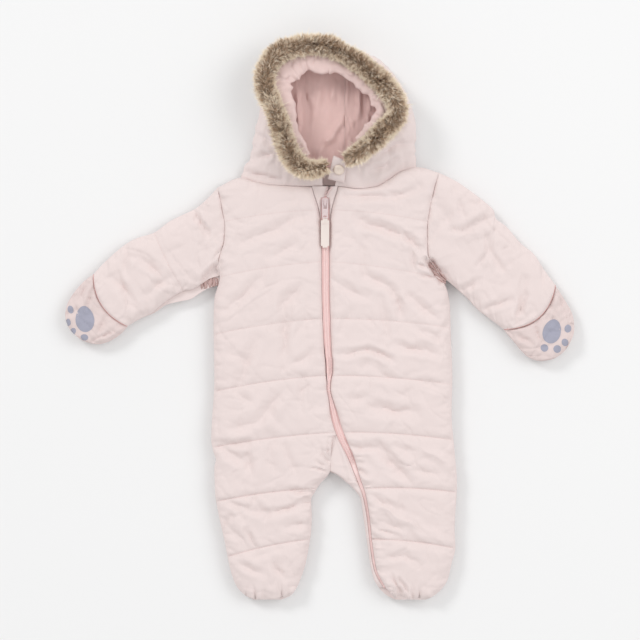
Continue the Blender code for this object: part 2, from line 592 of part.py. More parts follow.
# Hood: rows that fan from the nape to the forehead. Each starts at the seam beside the
# centre strip, runs out under the hood, turns up round its side and ends at the rim.
# seam y, z; outline x, y; rim x, y, z
HOOD_RIGHT_ROWS = [
    (172.5, 0, -102, 184, 4, 171.5, 23), (186, 0, -97, 197, 0, 187, 32), (205, 0, -90, 212, -26, 199, 37),
    (228, 0, -86, 232, -47, 228, 41), (252, 0, -80, 257, -54, 252, 42), (280, 0, -77, 283, -64, 285, 41),
    (305, 0, -76, 312, -66, 312, 39), (324, 4, -65, 337, -56, 335, 37), (338, 13, -45, 348, -39, 345, 36),
    (345, 24, -29, 351, -25, 348, 35), (348, 31, -20, 350, -20, 348.5, 35)]
HOOD_LEFT_ROWS = [
    (171, 0, 126, 197, 20, 171.5, 23), (186, 0, 125, 208, 27, 190, 32), (202, 0, 124, 217, 46, 211, 38),
    (222, 0, 125, 232, 66, 228, 41), (242, 0, 125, 248, 84, 245, 43), (264, 0, 122, 266, 97, 264, 43),
    (285, 0, 113, 289, 91, 287, 42), (304, 0, 100, 312, 74, 305, 40), (320, 3, 84, 332, 59, 319, 38),
    (333, 11, 64, 343, 47, 330, 36), (341, 22, 47, 347, 40, 337, 35), (344, 29, 38, 345, 36, 339.5, 35)]


def smooth_rows(control, places):
    """Grid rows read at fractional places off a smooth surface through control rows."""
    control = np.array(control)
    ends = np.concatenate([2 * control[:1] - control[1:2], control,
                           2 * control[-1:] - control[-2:-1]])
    rows = []
    for place in places:
        i = min(int(place), len(control) - 2)
        t = place - i
        p0, p1, p2, p3 = ends[i:i + 4]
        rows.append(0.5 * (2 * p1 + (p2 - p0) * t + (2 * p0 - 5 * p1 + 4 * p2 - p3) * t ** 2
                           + (3 * p1 - p0 - 3 * p2 + p3) * t ** 3))
    return np.array(rows)


def neck_y(side, x):
    """y of the neck seam at x, on the wearer's right or left."""
    return curve(RIGHT_TOP if side < 0 else LEFT_TOP, x)


def hood_side_grid(rows, seam_x, side, count):
    """Outer surface of one side of the hood, from its floor seam round to its rim."""
    control = []
    for row, (seam_y, seam_z, out_x, out_y, rim_x, rim_y, rim_z) in enumerate(rows):
        seam = np.array([seam_x, seam_y, seam_z])
        rim = np.array([rim_x, rim_y, rim_z])
        middle = MIDDLE + (seam_z * 0.5 if seam_z > 3 else 0)
        out = np.array([out_x, out_y, min(middle, rim_z - 6)])
        inward = (seam + rim) / 2 - out
        inward[2] = 0
        roll = min(HOOD_ROLL, np.linalg.norm(inward) * 0.6)
        inward = inward / np.linalg.norm(inward) * roll
        under = out + inward
        under[2] = seam_z * 0.7
        over = out + (rim - out) * [0.35, 0.35, 0.0]
        over[2] = out[2] + (rim_z - out[2]) * 0.72
        line = through([seam, seam + (under - seam) * 0.5, under, out, over, rim], count)
        line[:, 2] = np.maximum(line[:, 2], 0)
        if row == 0:
            line[:, 1] = neck_y(side, line[:, 0]) + NECK_GAP
        control.append(line)
    return control


def inward_normals(grid, side):
    """Unit normals of a hood grid that point into the hood."""
    down = np.gradient(grid, axis=0)
    across = np.gradient(grid, axis=1)
    normals = np.cross(across, down) * side
    normals = normals / np.maximum(np.linalg.norm(normals, axis=2, keepdims=True), 1e-9)
    for _ in range(3):
        normals[:, 1:-1] = (normals[:, :-2] + 2 * normals[:, 1:-1] + normals[:, 2:]) / 4
        normals[1:-1] = (normals[:-2] + 2 * normals[1:-1] + normals[2:]) / 4
    return normals / np.linalg.norm(normals, axis=2, keepdims=True)


def hood_layers(name, lining_name, grid, side, shell, lining, flat_columns, lined_rows):
    """The padded wall on a hood grid and the lining inside it."""
    normals = inward_normals(grid, side)
    for column in flat_columns:
        normals[:, column, 0] = 0
    normals[0, :, 1] = 0
    normals = normals / np.maximum(np.linalg.norm(normals, axis=2, keepdims=True), 1e-9)
    inside = grid + normals * HOOD_WALL
    closed_wall(name, grid, inside, shell)
    near = grid + normals * (HOOD_WALL + LINING_GAP)
    far = grid + normals * (HOOD_WALL + LINING_GAP + LINING_WALL)
    closed_wall(lining_name, near[1:lined_rows], far[1:lined_rows], lining)


def make_hood(shell, lining):
    """Two sides and a centre strip, each padded and lined."""
    sides = (("right", -1, HOOD_RIGHT_ROWS, HOOD_SEAM_RIGHT), ("left", 1, HOOD_LEFT_ROWS, HOOD_SEAM_LEFT))
    for side_name, side, rows, seam_x in sides:
        places = [p for p in np.arange(0, len(rows) - 0.99, 1.0)]
        places = sorted(places + [0.4, 1.5])
        control = hood_side_grid(rows, seam_x + side * SEAM_GAP / 2, side, 18)
        grid = smooth_rows(control, places)
        grid[:, :, 2] = np.maximum(grid[:, :, 2], 0)
        hood_layers(f"hood_{side_name}", f"hood_lining_{side_name}", grid, side, shell, lining, (0,), -3)
    rows = []
    for place in np.linspace(0, 1, 12):
        ends = []
        for _, side, table, seam_x in sides:
            line = through([(row[0], row[1]) for row in table], 60)
            y, z = line[int(round(place * 59))]
            ends.append([seam_x - side * SEAM_GAP / 2, y, max(z, 0)])
        rows.append([np.array(ends[0]) + (np.array(ends[1]) - ends[0]) * t for t in (0, 0.33, 0.67, 1)])
    hood_layers("hood_centre", "hood_lining_centre", np.array(rows), 1, shell, lining, (0, 3), -1)


# Fur trim and the gathered facing inside it: x, y, z of the middle of each
FUR_ROUTE = [(7, 190, 43), (-21, 195, 46.5), (-41, 217, 50), (-51, 253, 52), (-64, 288, 51),
             (-67, 315, 49), (-55, 340, 47), (-34, 353, 46), (-11, 357, 46), (14, 352, 46),
             (33, 341, 46), (55, 322, 48.5), (79, 302, 50), (94, 285, 52), (99, 267, 53),
             (93, 253, 53), (76, 237, 52), (58, 221, 50), (44, 209, 47), (38, 204.5, 45)]
FACING_ROUTE = [(-14, 211, 35), (-29, 233, 38), (-37, 259, 38), (-43, 283, 38), (-45, 309, 35.5),
                (-36, 324, 34.6), (-15, 331, 34.4), (8, 328, 34.8), (28, 319, 35.5), (49, 305, 37),
                (66, 292, 38), (76, 275, 39), (72, 261, 39), (62, 246, 38), (46, 230, 37)]


def tube(name, route, rows, sides, half_width, half_height, shape, finish):
    """A solid along a route, its flat-lying oval section varied by shape(row, angle)."""
    line = through(route, rows)
    ahead = np.gradient(line, axis=0)
    across = np.stack([-ahead[:, 1], ahead[:, 0], 0 * ahead[:, 0]], axis=1)
    across /= np.linalg.norm(across, axis=1, keepdims=True)
    mesh = bmesh.new()
    rings = []
    for row in range(rows):
        ring = []
        for k in range(sides):
            angle = 2 * math.pi * k / sides
            swell = shape(row / (rows - 1), angle)
            point = (line[row] + across[row] * half_width * math.cos(angle) * swell
                     + np.array([0, 0, half_height * math.sin(angle) * swell]))
            ring.append(mesh.verts.new(point * MM))
        rings.append(ring)
    for low, high in zip(rings, rings[1:]):
        for k in range(sides):
            mesh.faces.new((low[k], low[(k + 1) % sides], high[(k + 1) % sides], high[k]))
    for ring, centre in ((rings[0], line[0]), (rings[-1], line[-1])):
        hub = mesh.verts.new(centre * MM)
        for k in range(sides):
            mesh.faces.new((hub, ring[k], ring[(k + 1) % sides]))
    return finished(name, mesh, finish)


def make_hood_edge(fur, facing):
    """Fur trim standing on the hood's rim and the gathered facing inside it."""
    def locks(place, angle):
        """Uneven locks of pile, thinner at the two ends."""
        ends = min(1, 0.72 + 4 * place, 0.72 + 4 * (1 - place))
        clump = 0.06 * math.sin(61 * place + 2 * angle) + 0.05 * math.sin(23 * place - 3 * angle)
        return ends * (0.97 + clump)

    def ruffle(place, angle):
        ends = min(1, 0.6 + 6 * place, 0.6 + 6 * (1 - place))
        return ends * (1 + 0.2 * math.sin(2 * math.pi * RUFFLES * place + 0.8 * math.cos(angle)))

    tube("fur_trim", FUR_ROUTE, 84, 12, FUR_HALF_WIDTH, FUR_HALF_HEIGHT, locks, fur)
    tube("hood_facing", FACING_ROUTE, 78, 8, FACING_HALF_WIDTH, FACING_HALF_HEIGHT, ruffle, facing)


# Chin tab, laid over the two ends of the collar: left x, y and right x, y of its rows
TAB_ROWS = [(11, 179, 32, 174), (12, 184, 33, 180), (13.5, 191, 34.2, 188), (15.5, 199, 34, 195.5),
            (17, 205, 31.5, 201.5), (18.5, 208.5, 27.5, 205)]


def tab_height(y):
    return TAB_BASE[1] + TAB_SLOPE * (y - TAB_BASE[0])


def make_chin_tab(shell, cap):
    rows = []
    for left_x, left_y, right_x, right_y in TAB_ROWS:
        left, right = np.array([left_x, left_y]), np.array([right_x, right_y])
        rows.append([left + (right - left) * t for t in (0, 0.08, 0.3, 0.7, 0.92, 1)])
    plan = np.array(rows)
    under = tab_height(plan[:, :, 1])
    left, right, low, high = edge_distances(plan)
    away = np.minimum(np.minimum(left, right), np.minimum(low, high))
    outer = under + TAB_THICK * (0.6 + 0.4 * rounding(away, 2.0))
    closed_wall("chin_tab", with_height(plan, outer), with_height(plan, under), shell)
    turned = turn_profile([(0, 0), (SNAP_RADIUS, 0), (SNAP_RADIUS, 0.9), (SNAP_RADIUS - 0.7, 1.7),
                           (SNAP_RADIUS - 2.4, SNAP_HEIGHT), (SNAP_RADIUS - 3.4, SNAP_HEIGHT - 0.5),
                           (0, SNAP_HEIGHT - 0.5)], 28)
    angle = math.atan(TAB_SLOPE)
    normal = np.array([0, -math.sin(angle), math.cos(angle)])
    along = np.array([0, math.cos(angle), math.sin(angle)])
    seat = np.array([SNAP_AT[0], SNAP_AT[1], tab_height(SNAP_AT[1]) + TAB_THICK / math.cos(angle)])
    for point in turned.verts:
        x, y, z = point.co
        point.co = (seat + np.array([x, 0, 0]) + along * y + normal * (z + SEAM_GAP)) * MM
    finished("snap_cap", turned, cap)


def turn_profile(profile, sides):
    """A closed turned solid from (radius, height) points that start and end on the axis."""
    mesh = bmesh.new()
    rings = []
    for radius, height in profile:
        if radius == 0:
            rings.append([mesh.verts.new((0, 0, height))])
        else:
            rings.append([mesh.verts.new((radius * math.cos(2 * math.pi * k / sides),
                                          radius * math.sin(2 * math.pi * k / sides), height))
                          for k in range(sides)])
    for low, high in zip(rings, rings[1:]):
        for k in range(sides):
            n = (k + 1) % sides
            if len(low) == 1:
                mesh.faces.new((low[0], high[k], high[n]))
            elif len(high) == 1:
                mesh.faces.new((low[k], high[0], low[n]))
            else:
                mesh.faces.new((low[k], low[n], high[n], high[k]))
    return mesh


def block(name, centre, size, bevel=0.0, hidden=False):
    """A box object in millimetres with rounded edges."""
    mesh = bmesh.new()
    bmesh.ops.create_cube(mesh, size=1.0)
    for point in mesh.verts:
        point.co = [(c + s * p) * MM for c, s, p in zip(centre, size, point.co)]
    if bevel:
        bmesh.ops.bevel(mesh, geom=mesh.edges, offset=bevel * MM, segments=2, affect="EDGES")
    data = bpy.data.meshes.new(name)
    mesh.to_mesh(data)
    mesh.free()
    item = bpy.data.objects.new(name, data)
    bpy.context.scene.collection.objects.link(item)
    if hidden:
        item.hide_render = True
        item.display_type = "WIRE"
    return item


def combine(item, other, operation):
    step = item.modifiers.new(other.name, "BOOLEAN")
    step.operation = operation
    step.object = other
    other.hide_render = True
    other.display_type = "WIRE"


def make_slider_and_pull(metal, cord_cloth):
    """Slider with a bail, a metal link that swings in it and the cloth tag on the link."""
    x = float(zip_middle(SLIDER_Y))
    slider = block("zip_slider", (x, SLIDER_Y, (SLIDER_BASE + SLIDER_TOP) / 2),
                   (SLIDER_WIDTH, SLIDER_LENGTH, SLIDER_TOP - SLIDER_BASE), 1.2)
    bail = block("bail_shape", (x, PULL_AXIS[0], (SLIDER_TOP - 1 + BAIL_TOP) / 2),
                 (BAIL_WIDTH, BAIL_LENGTH, BAIL_TOP - SLIDER_TOP + 1), 0.5, hidden=True)
    eye = block("bail_eye", (x, PULL_AXIS[0], SLIDER_TOP + 0.1 + BAIL_HOLE_HEIGHT / 2),
                (BAIL_WIDTH * 2, BAIL_HOLE_LENGTH, BAIL_HOLE_HEIGHT), hidden=True)
    combine(slider, bail, "UNION")
    combine(slider, eye, "DIFFERENCE")
    slider.data.materials.append(metal)

    top = PULL_AXIS[0] + PULL_THICK / 2
    length = top - LINK_END
    link = block("pull_link", (x, top - length / 2, PULL_AXIS[1]), (LINK_WIDTH, length, PULL_THICK), 0.35)
    window = block("link_window", (x, top - PULL_THICK - 3.6, PULL_AXIS[1]), (4.4, 7.2, 4), hidden=True)
    slot = block("link_slot", (x, LINK_END + 2.6, PULL_AXIS[1]), (4.4, 1.8, 4), hidden=True)
    combine(link, window, "DIFFERENCE")
    combine(link, slot, "DIFFERENCE")
    link.data.materials.append(metal)
    tag_top = LINK_END - SEAM_GAP
    tag = block("pull_tag", (x, (tag_top + TAG_END) / 2, PULL_AXIS[1]),
                (TAG_WIDTH, tag_top - TAG_END, TAG_THICK), 0.7)
    tag.data.materials.append(cord_cloth)


def main():
    clear_scene()
    shell = material("shell_cotton", (0.80, 0.68, 0.66), 0.9)
    make_body(shell)
    make_gusset(shell)
    mitt_cloth = material("mitt_cotton", (0.74, 0.60, 0.57), 0.9)
    make_sleeves(shell, mitt_cloth)
    lining = material("lining_fleece", (0.66, 0.44, 0.42), 0.95)
    make_hood(shell, lining)
    zip_pink = material("zip_tape", (0.78, 0.55, 0.54), 0.8)
    zip_coil = material("zip_coil", (0.74, 0.45, 0.45), 0.45)
    metal = material("zip_metal", (0.62, 0.60, 0.58), 0.35, 1.0)
    make_zip(zip_pink, zip_coil)
    fur = material("fur_pile", (0.30, 0.23, 0.17), 0.95)
    make_hood_edge(fur, mitt_cloth)
    cream = material("cream_cap", (0.78, 0.68, 0.58), 0.4)
    make_chin_tab(shell, cream)
    make_slider_and_pull(metal, material("pull_cloth", (0.82, 0.74, 0.70), 0.85))


main()
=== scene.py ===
"""Baby snowsuit laid flat: the finished cloth, fur, zip and prints, dressed over its frame.

Each padded piece is a grid between named outline tables, with its quilting, creases and
small wrinkles worked out from sizes. Lengths in the tables are millimetres; X runs across
the suit towards the wearer's left, Y from the feet to the hood and Z up.
"""

import math

import bmesh
import bpy
import numpy as np
from bpy.props import FloatProperty, FloatVectorProperty, IntProperty, PointerProperty
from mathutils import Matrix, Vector
from mathutils.bvhtree import BVHTree


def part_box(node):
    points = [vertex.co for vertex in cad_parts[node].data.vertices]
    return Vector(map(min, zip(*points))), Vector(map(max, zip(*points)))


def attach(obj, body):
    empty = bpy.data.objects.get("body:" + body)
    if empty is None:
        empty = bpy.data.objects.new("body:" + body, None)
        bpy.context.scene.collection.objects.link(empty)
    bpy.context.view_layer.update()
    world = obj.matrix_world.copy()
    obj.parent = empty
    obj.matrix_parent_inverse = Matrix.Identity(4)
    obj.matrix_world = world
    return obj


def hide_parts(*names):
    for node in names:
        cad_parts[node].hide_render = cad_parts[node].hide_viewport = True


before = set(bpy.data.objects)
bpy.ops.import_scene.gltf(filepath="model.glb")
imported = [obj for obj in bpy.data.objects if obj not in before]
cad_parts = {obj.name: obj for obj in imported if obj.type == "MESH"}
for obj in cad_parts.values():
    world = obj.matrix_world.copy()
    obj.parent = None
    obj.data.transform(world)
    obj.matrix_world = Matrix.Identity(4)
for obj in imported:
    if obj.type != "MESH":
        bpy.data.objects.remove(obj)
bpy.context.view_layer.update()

bl_info = {
    "name": "Baby Snowsuit",
    "version": (1, 0, 0),
    "blender": (4, 5, 0),
    "location": "View3D > Sidebar > Snowsuit",
    "description": "Dresses a padded baby snowsuit laid flat",
    "category": "Object",
}

MM = 0.001
LATTICE = 128           # cells of the random field before it repeats
LATTICE_START = 1000    # keeps the field's places above 0
SEAM_GAP = 0.3
UP = np.array([0, 0, 1.0])
FAR = 1e3               # stands for no edge or seam nearby
MIDDLE = 12.5           # height of the layer where front pieces lie on back pieces
EDGE_WALL = 2.6         # wall of a padded piece at its side seams
THIN_WALL = 2.4
FRONT_BASE = MIDDLE + SEAM_GAP / 2
BACK_BASE = MIDDLE - SEAM_GAP / 2
FRONT_EDGE = MIDDLE + EDGE_WALL
BACK_EDGE = MIDDLE - EDGE_WALL
BODY_HEIGHT = 27.0
LEG_HEIGHT = 26.0
SLEEVE_HEIGHT = 25.0
FOOT_HEIGHT = 24.0
MITT_HEIGHT = 21.5
CUFF_EDGE = 20.5
MITT_EDGE = 17.5
SIDE_ROLL = 26.0
ZIP_ROLL = 9.0
ZIP_EDGE = 20.0
ARMHOLE_EDGE = 21.5
CENTRE_BACK = 12.0
HEEL_SIDE = -300.0
HEEL_MIDDLE = -292.0
NECK_EDGE = 19.0
CROTCH = -203.0

# How fine each piece is: rows along it, then columns across it. A step is from row to row.
FRONT_STEP, FRONT_ACROSS = 1.7, 96
BACK_STEP, BACK_ACROSS = 3.4, 52
GUSSET_ROWS, GUSSET_ACROSS = 130, 22
SLEEVE_ROWS, SLEEVE_ACROSS = 111, 66
SLEEVE_BACK_ROWS, SLEEVE_BACK_ACROSS = 56, 40
GATHER_ROWS, GATHER_ACROSS = 36, 70
PIPING_ROWS, PIPING_SIDES = 90, 8
MITT_ROWS, MITT_ACROSS = 64, 56
MITT_BACK_ROWS, MITT_BACK_ACROSS = 34, 34
HOOD_ROWS, HOOD_COLUMNS = 92, 96
HOOD_CENTRE_ROWS, HOOD_CENTRE_COLUMNS = 60, 22
FACING_ROWS, FACING_SIDES = 380, 32
FUR_ROWS, FUR_SIDES = 360, 24
ZIP_ROWS, FOLD_ROWS = 300, 90
TAB_GRID_ROWS, TAB_ACROSS = 40, 24
SNAP_SIDES = 56
PRINT_SIDES = 48

# y, x of the outer side: armhole, side seam, leg and foot
RIGHT_SIDE = [(169, -132), (142, -127), (116, -123), (99, -124), (72, -131), (53, -130), (22, -137),
              (-9, -138), (-82, -137), (-160, -141), (-176, -138), (-186, -135), (-196, -137),
              (-228, -136), (-259, -131), (-290, -124), (-321, -118), (-342, -112), (-352, -107),
              (-363, -96), (-368, -86)]
LEFT_SIDE = [(188, 155), (144, 144), (112, 140), (81, 141), (66, 150), (43, 163), (32, 167),
             (12, 170), (-20, 171), (-82, 173), (-124, 172), (-176, 176), (-217, 179), (-277, 176),
             (-300, 177), (-321, 172), (-342, 167), (-352, 161), (-363, 149), (-368, 138)]
# y, x of the inner leg, from the crotch down
RIGHT_INNER_LEG = [(-155, 18), (-179, 15), (-200, 14), (-207, 10), (-217, 1), (-228, -6), (-238, -11),
                   (-259, -10), (-280, -11), (-300, -14), (-321, -18), (-342, -25), (-355, -31),
                   (-363, -38), (-368, -50)]
LEFT_INNER_LEG = [(-203, 19), (-207, 25), (-217, 37), (-228, 48), (-238, 54), (-259, 57), (-280, 60),
                  (-300, 63), (-321, 66), (-342, 71), (-352, 77), (-363, 88), (-368, 98)]
# y, x of the middle of the zip
ZIP_CENTRE = [(170, 7), (127, 7.5), (90, 8), (44, 8), (-1, 9), (-45, 11), (-64, 12.5), (-91, 12),
              (-113, 16), (-136, 21.5), (-155, 28), (-182, 40.5), (-209, 50), (-233, 58.3),
              (-264, 63.8), (-294, 67), (-328, 72.5), (-352.2, 84.5)]
# y, half width of the opening that the zip closes, then y, height of the zip's bed
ZIP_HALF = [(170, 17), (127, 6.2), (90, 5), (-40, 4.6), (-70, 4.2), (-88, 1.9), (-98, 1.8),
            (-112, 3.0), (-126, 4.6), (-150, 5), (-180, 4.2), (-215, 2.4), (-250, 1.7),
            (-352.2, 1.4)]
ZIP_BED = [(170, 20), (-88, 20), (-112, 18.2), (-150, 18.2), (-200, 16.4), (-352.2, 16.4)]
ZIP_BOTTOM = -352.2
TEETH_BOTTOM = -190.0
TAPES_MEET = 157.5
TAPE_HALF = 6.6
TAPE_LIFT = 0.8
COIL_HALF = 2.6
SLIDER_MIDDLE = 148.0
SLIDER_HALF = 6.5
TOOTH = (3.3, 1.0, 1.5)         # length, width and height of one tooth of the coil
TOOTH_LIFT = 2.9                # from the zip's bed to the middle of a tooth
TOOTH_SPREAD = 0.85             # from the zip's middle to that of a tooth
TOOTH_LEAN = 0.18
COIL_BASE = 0.85
COIL_CROWN = 0.3
TAPE_CLEAR = 0.05
# y, width of the slit where the tape has pulled off the right front
ZIP_PULLED = [(-34, 0), (-46, 0.7), (-80, 0.7), (-90, 0)]
# The folds of cloth beside the slider. y, how far the slit between them leans left; y, its half width
SLIT_LEAN = [(169.9, 5.6), (163, 3.2), (156.5, 0.6), (154.8, 0.0)]
SLIT_HALF = [(169.9, 2.4), (163, 1.1), (157.2, 0.8), (155.6, 2.6), (154.8, 5.4)]
FOLD_BOTTOM, FOLD_TOP = 128.0, 169.9
FOLD_LIFT = 2.7
FOLD_CROWN = 0.9
# x, y, z along the bare coil: both sides of the slit, then the stretch that shows on the belly
OPEN_COIL = [[(7.2, 158, 23.7), (9.2, 163, 23.7), (10.2, 169, 23.7)],
             [(8.9, 158, 23.7), (11.9, 163, 23.7), (15.2, 169, 23.7)],
             [(13.0, -54, 23.7), (13.6, -64, 23.9), (13.2, -75, 23.7)],
             [(15.0, -53, 23.5), (15.8, -63, 23.7), (15.4, -74, 23.5)]]
# The gathered cloth under each arm: upper edge and lower edge x, y; height; pleats along and across
UNDERARMS = (("right", [(-156, 48), (-146.3, 50), (-137.2, 52), (-131.5, 50)],
              [(-154, 35.6), (-146.3, 37.2), (-139.8, 39), (-131, 41.6)], 14.9, 4.5, 0.5),
             ("left", [(142.5, 77), (152, 68), (159, 59), (165.5, 51)],
              [(138.5, 69), (143.7, 57.2), (149.5, 49.8), (164.2, 42.6)], 17.2, 0.8, 3.4))
GATHER_DEPTH = 3.4
GATHER_ROLL = 2.2
# toe, seven quilting lines, neck: y at the middle of the body, then at each side
LINES_AT_MIDDLE = (-368, -289, -223, -150, -76, -2, 72, 139, 170)
LINES_AT_RIGHT_SIDE = (-368, -312, -240, -170, -97, -23, 52, 124, 169)
LINES_AT_LEFT_SIDE = (-368, -301, -228, -160, -88, -14, 50, 124, 188)
# how deep each of these lines is drawn in, as a share of the quilting depth
LINE_PULL = (0.0, 1.2, 1.25, 0.95, 0.8, 0.7, 0.32, 0.25, 0.0)
LINE_BOW = 3.0
STITCH = (0.72, 0.55, 0.45)     # length as a share of the pitch, then width and height
STITCH_LIFT = 0.12
# x, y along the shoulder seam, then the neck seam
RIGHT_TOP = [(-132, 169), (-103, 181), (-84, 176), (-63, 172), (-10, 170), (12, 170)]
LEFT_TOP = [(155, 188), (129, 195), (108, 190), (89, 178), (74, 170), (50, 167), (24, 170), (12, 170)]
GUSSET_LEFT = [(-156, 18), (-179, 15), (-200, 15), *LEFT_INNER_LEG[:10], (-352.2, 77)]
GUSSET_TOP = -153.8
GUSSET_HEIGHT = 21.0
GUSSET_ZIP_EDGE = 19.0
GUSSET_TOP_EDGE = 20.4
# Sleeves and mitts, armhole or cuff to hand: upper end x, y; lower end x, y; bow
SLEEVE_FRONT_RIGHT = [
    (-132, 169, -130, 54, 0), (-145, 155, -143, 50, 0), (-160, 142, -152, 44, -2),
    (-176, 134, -161, 38, -2), (-196, 124, -169, 35, 0), (-215, 110, -177, 34, 2),
    (-237, 103, -190, 27, 2), (-252, 95, -203, 18, 3), (-267, 83, -219, 5, 6),
    (-282, 69, -235, -3, 9), (-294, 56, -250, -12, 13)]
# the back of the right sleeve: lower end x, y and bow of each of the same rows
RIGHT_UNDERSIDE = [
    (-133, 42, 0), (-148, 36, 0), (-159, 29, -2), (-169, 23, -2), (-184, 20, 0), (-199, 16, 0),
    (-207, 11, 2), (-216, 5, 3), (-226, 1, 6), (-237, -4, 9), (-250, -12, 12)]
SLEEVE_BACK_RIGHT = [(*row[:2], *lower) for row, lower in zip(SLEEVE_FRONT_RIGHT, RIGHT_UNDERSIDE)]
SLEEVE_LEFT = [
    (155, 188, 150, 67, 0), (176, 178, 163, 51, 0), (194, 166, 174, 41, 0),
    (210, 154, 184, 32, 2), (226, 140, 193, 24, 3), (230, 128, 200, 16, 4),
    (244, 117, 208, 8, 4), (262, 96, 216, 2, 6), (279, 82, 224, -4, 9),
    (293, 61, 232, -10, 13), (307, 42, 240, -16, 18)]
MITT_RIGHT = [
    (-295, 55, -251, -13, 13), (-305, 48, -258, -21, 14), (-314, 39, -267, -28, 13),
    (-324, 26, -279, -34, 11), (-330, 14, -291, -36, 8), (-332, 2, -305, -33, 5),
    (-330, -8, -317, -25, 2)]
MITT_LEFT = [
    (308, 40, 241, -17, 18), (315, 30, 248, -26, 17), (323, 17, 256, -35, 15),
    (329, 6, 264, -45, 12), (332, -6, 273, -53, 9), (332, -22, 287, -58, 6),
    (326, -36, 303, -56, 3)]
SLEEVE_QUILT_ROW = 5.0
PIPING_RADIUS = 0.55
PIPING_DROP = 0.3
# Hood rows from nape to forehead: seam y, z; outline x, y; rim x, y, z
HOOD_RIGHT_ROWS = [
    (172.5, 0, -102, 184, 4, 171.5, 21), (186, 0, -97, 197, 0, 187, 32),
    (205, 0, -90, 212, -26, 199, 37), (228, 0, -86, 232, -47, 228, 41),
    (252, 0, -80, 257, -54, 252, 42), (280, 0, -77, 283, -64, 285, 41),
    (305, 0, -76, 312, -66, 312, 39), (324, 4, -65, 337, -56, 335, 37),
    (338, 13, -45, 348, -39, 345, 36), (345, 24, -29, 351, -25, 348, 35),
    (348, 31, -20, 350, -20, 348.5, 35)]
HOOD_LEFT_ROWS = [
    (171, 0, 126, 197, 20, 171.5, 21), (186, 0, 125, 208, 27, 190, 32), (202, 0, 124, 217, 46, 211, 38),
    (222, 0, 125, 232, 66, 228, 41), (242, 0, 125, 248, 84, 245, 43), (264, 0, 122, 266, 97, 264, 43),
    (285, 0, 113, 289, 91, 287, 42), (304, 0, 100, 312, 74, 305, 40), (320, 3, 84, 332, 59, 319, 38),
    (333, 11, 64, 343, 47, 330, 36), (341, 22, 47, 347, 40, 337, 35), (344, 29, 38, 345, 36, 339.5, 35)]
HOOD_SEAM_RIGHT = -17.0
HOOD_SEAM_LEFT = 33.0
HOOD_SEAM_GAP = {-1: 0.02, 1: 0.12}     # from the seam to each piece, at its right and left side
HOOD_WALL = 7.0
HOOD_ROLL = 15.0
LINING_WALL = 1.8
LINING_GAP = 0.8
LINED_FROM, LINED_SHORT = 0.4, 3.6      # in the hood's rows, from the neck and short of the brow
LINING_REACH = (-5.5, 0.7)      # how far the lining stands into the hood and sinks into the wall
NECK_GAP = 0.2
# x, y, z along the middle of the fur trim
FUR_ROUTE = [(8, 195, 43), (-6, 192, 44.5), (-18, 192, 46), (-31, 202, 48), (-40, 216, 50),
             (-47, 235, 51), (-55, 262, 52), (-66, 288, 51), (-70, 307, 49.5), (-66, 322, 48),
             (-57, 335, 47), (-44, 344, 46.5), (-22, 349.5, 46), (2, 350.5, 46), (17, 347, 46),
             (29, 340, 46), (48, 329, 47.5), (64, 316, 49), (80, 301, 50), (93, 285, 51.5),
             (99.5, 271, 53), (99, 261, 53), (94, 253, 53), (84, 243, 52.5), (71, 229, 51.5),
             (57, 217, 50), (45, 209, 47.5), (35, 204, 45)]
FUR_HALF_WIDTH = 12.5
FUR_HALF_HEIGHT = 9.5
FUR_CORE = 0.58                 # share of the trim's section that its dense core takes up
FUR_LENGTHS = 4                 # separate lengths that the trim's strands are made in
FUR_PALE = 0.95                 # tone of a pale lock, from 0 at the root's colour to 1 at the tip's
FUR_DARK = 0.14
STRAY_SHARE = 0.09
# x, y, z and half width along the middle of the gathered facing
FACING_ROUTE = [(-15, 209, 37, 6), (-32, 233, 40, 8), (-42, 259, 41, 12), (-49, 284, 41, 15),
                (-48, 306, 40, 16), (-36, 321, 39, 14), (-18, 329, 38.5, 12), (-6, 329, 38.5, 11.5),
                (5, 326, 38.5, 12.5), (14, 326, 38.5, 10.5), (24, 323, 38.5, 7), (38, 316, 39.3, 8),
                (53, 305, 40, 8.5), (66.5, 291.5, 41, 9.5), (77, 276, 42, 11.5), (78, 261, 42, 8.5),
                (67, 246, 41, 8), (49, 229, 39, 7)]
FACING_HALF_HEIGHT = 5.0
# Chin tab: left x, y and right x, y of its rows
TAB_ROWS = [(11, 179, 32, 174), (12, 184, 33, 180), (13.5, 191, 34.2, 188), (15.5, 199, 34, 195.5),
            (17, 205, 31.5, 201.5), (18.5, 208.5, 27.5, 205)]
TAB_SLOPE = 0.5
TAB_BASE = (172.0, 24.2)
TAB_THICK = 3.2
SNAP_AT = (25.0, 190.5)
# out from the snap's middle, up from its seat
SNAP_PROFILE = [(1.0, 1.5), (2.6, 1.6), (3.3, 2.0), (4.2, 2.35), (5.2, 2.3), (6.3, 1.8), (7.0, 1.0),
                (7.2, 0.4), (7.1, 0.0)]

TAG_CORNER = 2.2
TAG_RIM = 0.9
TAG_SUNK = 0.25

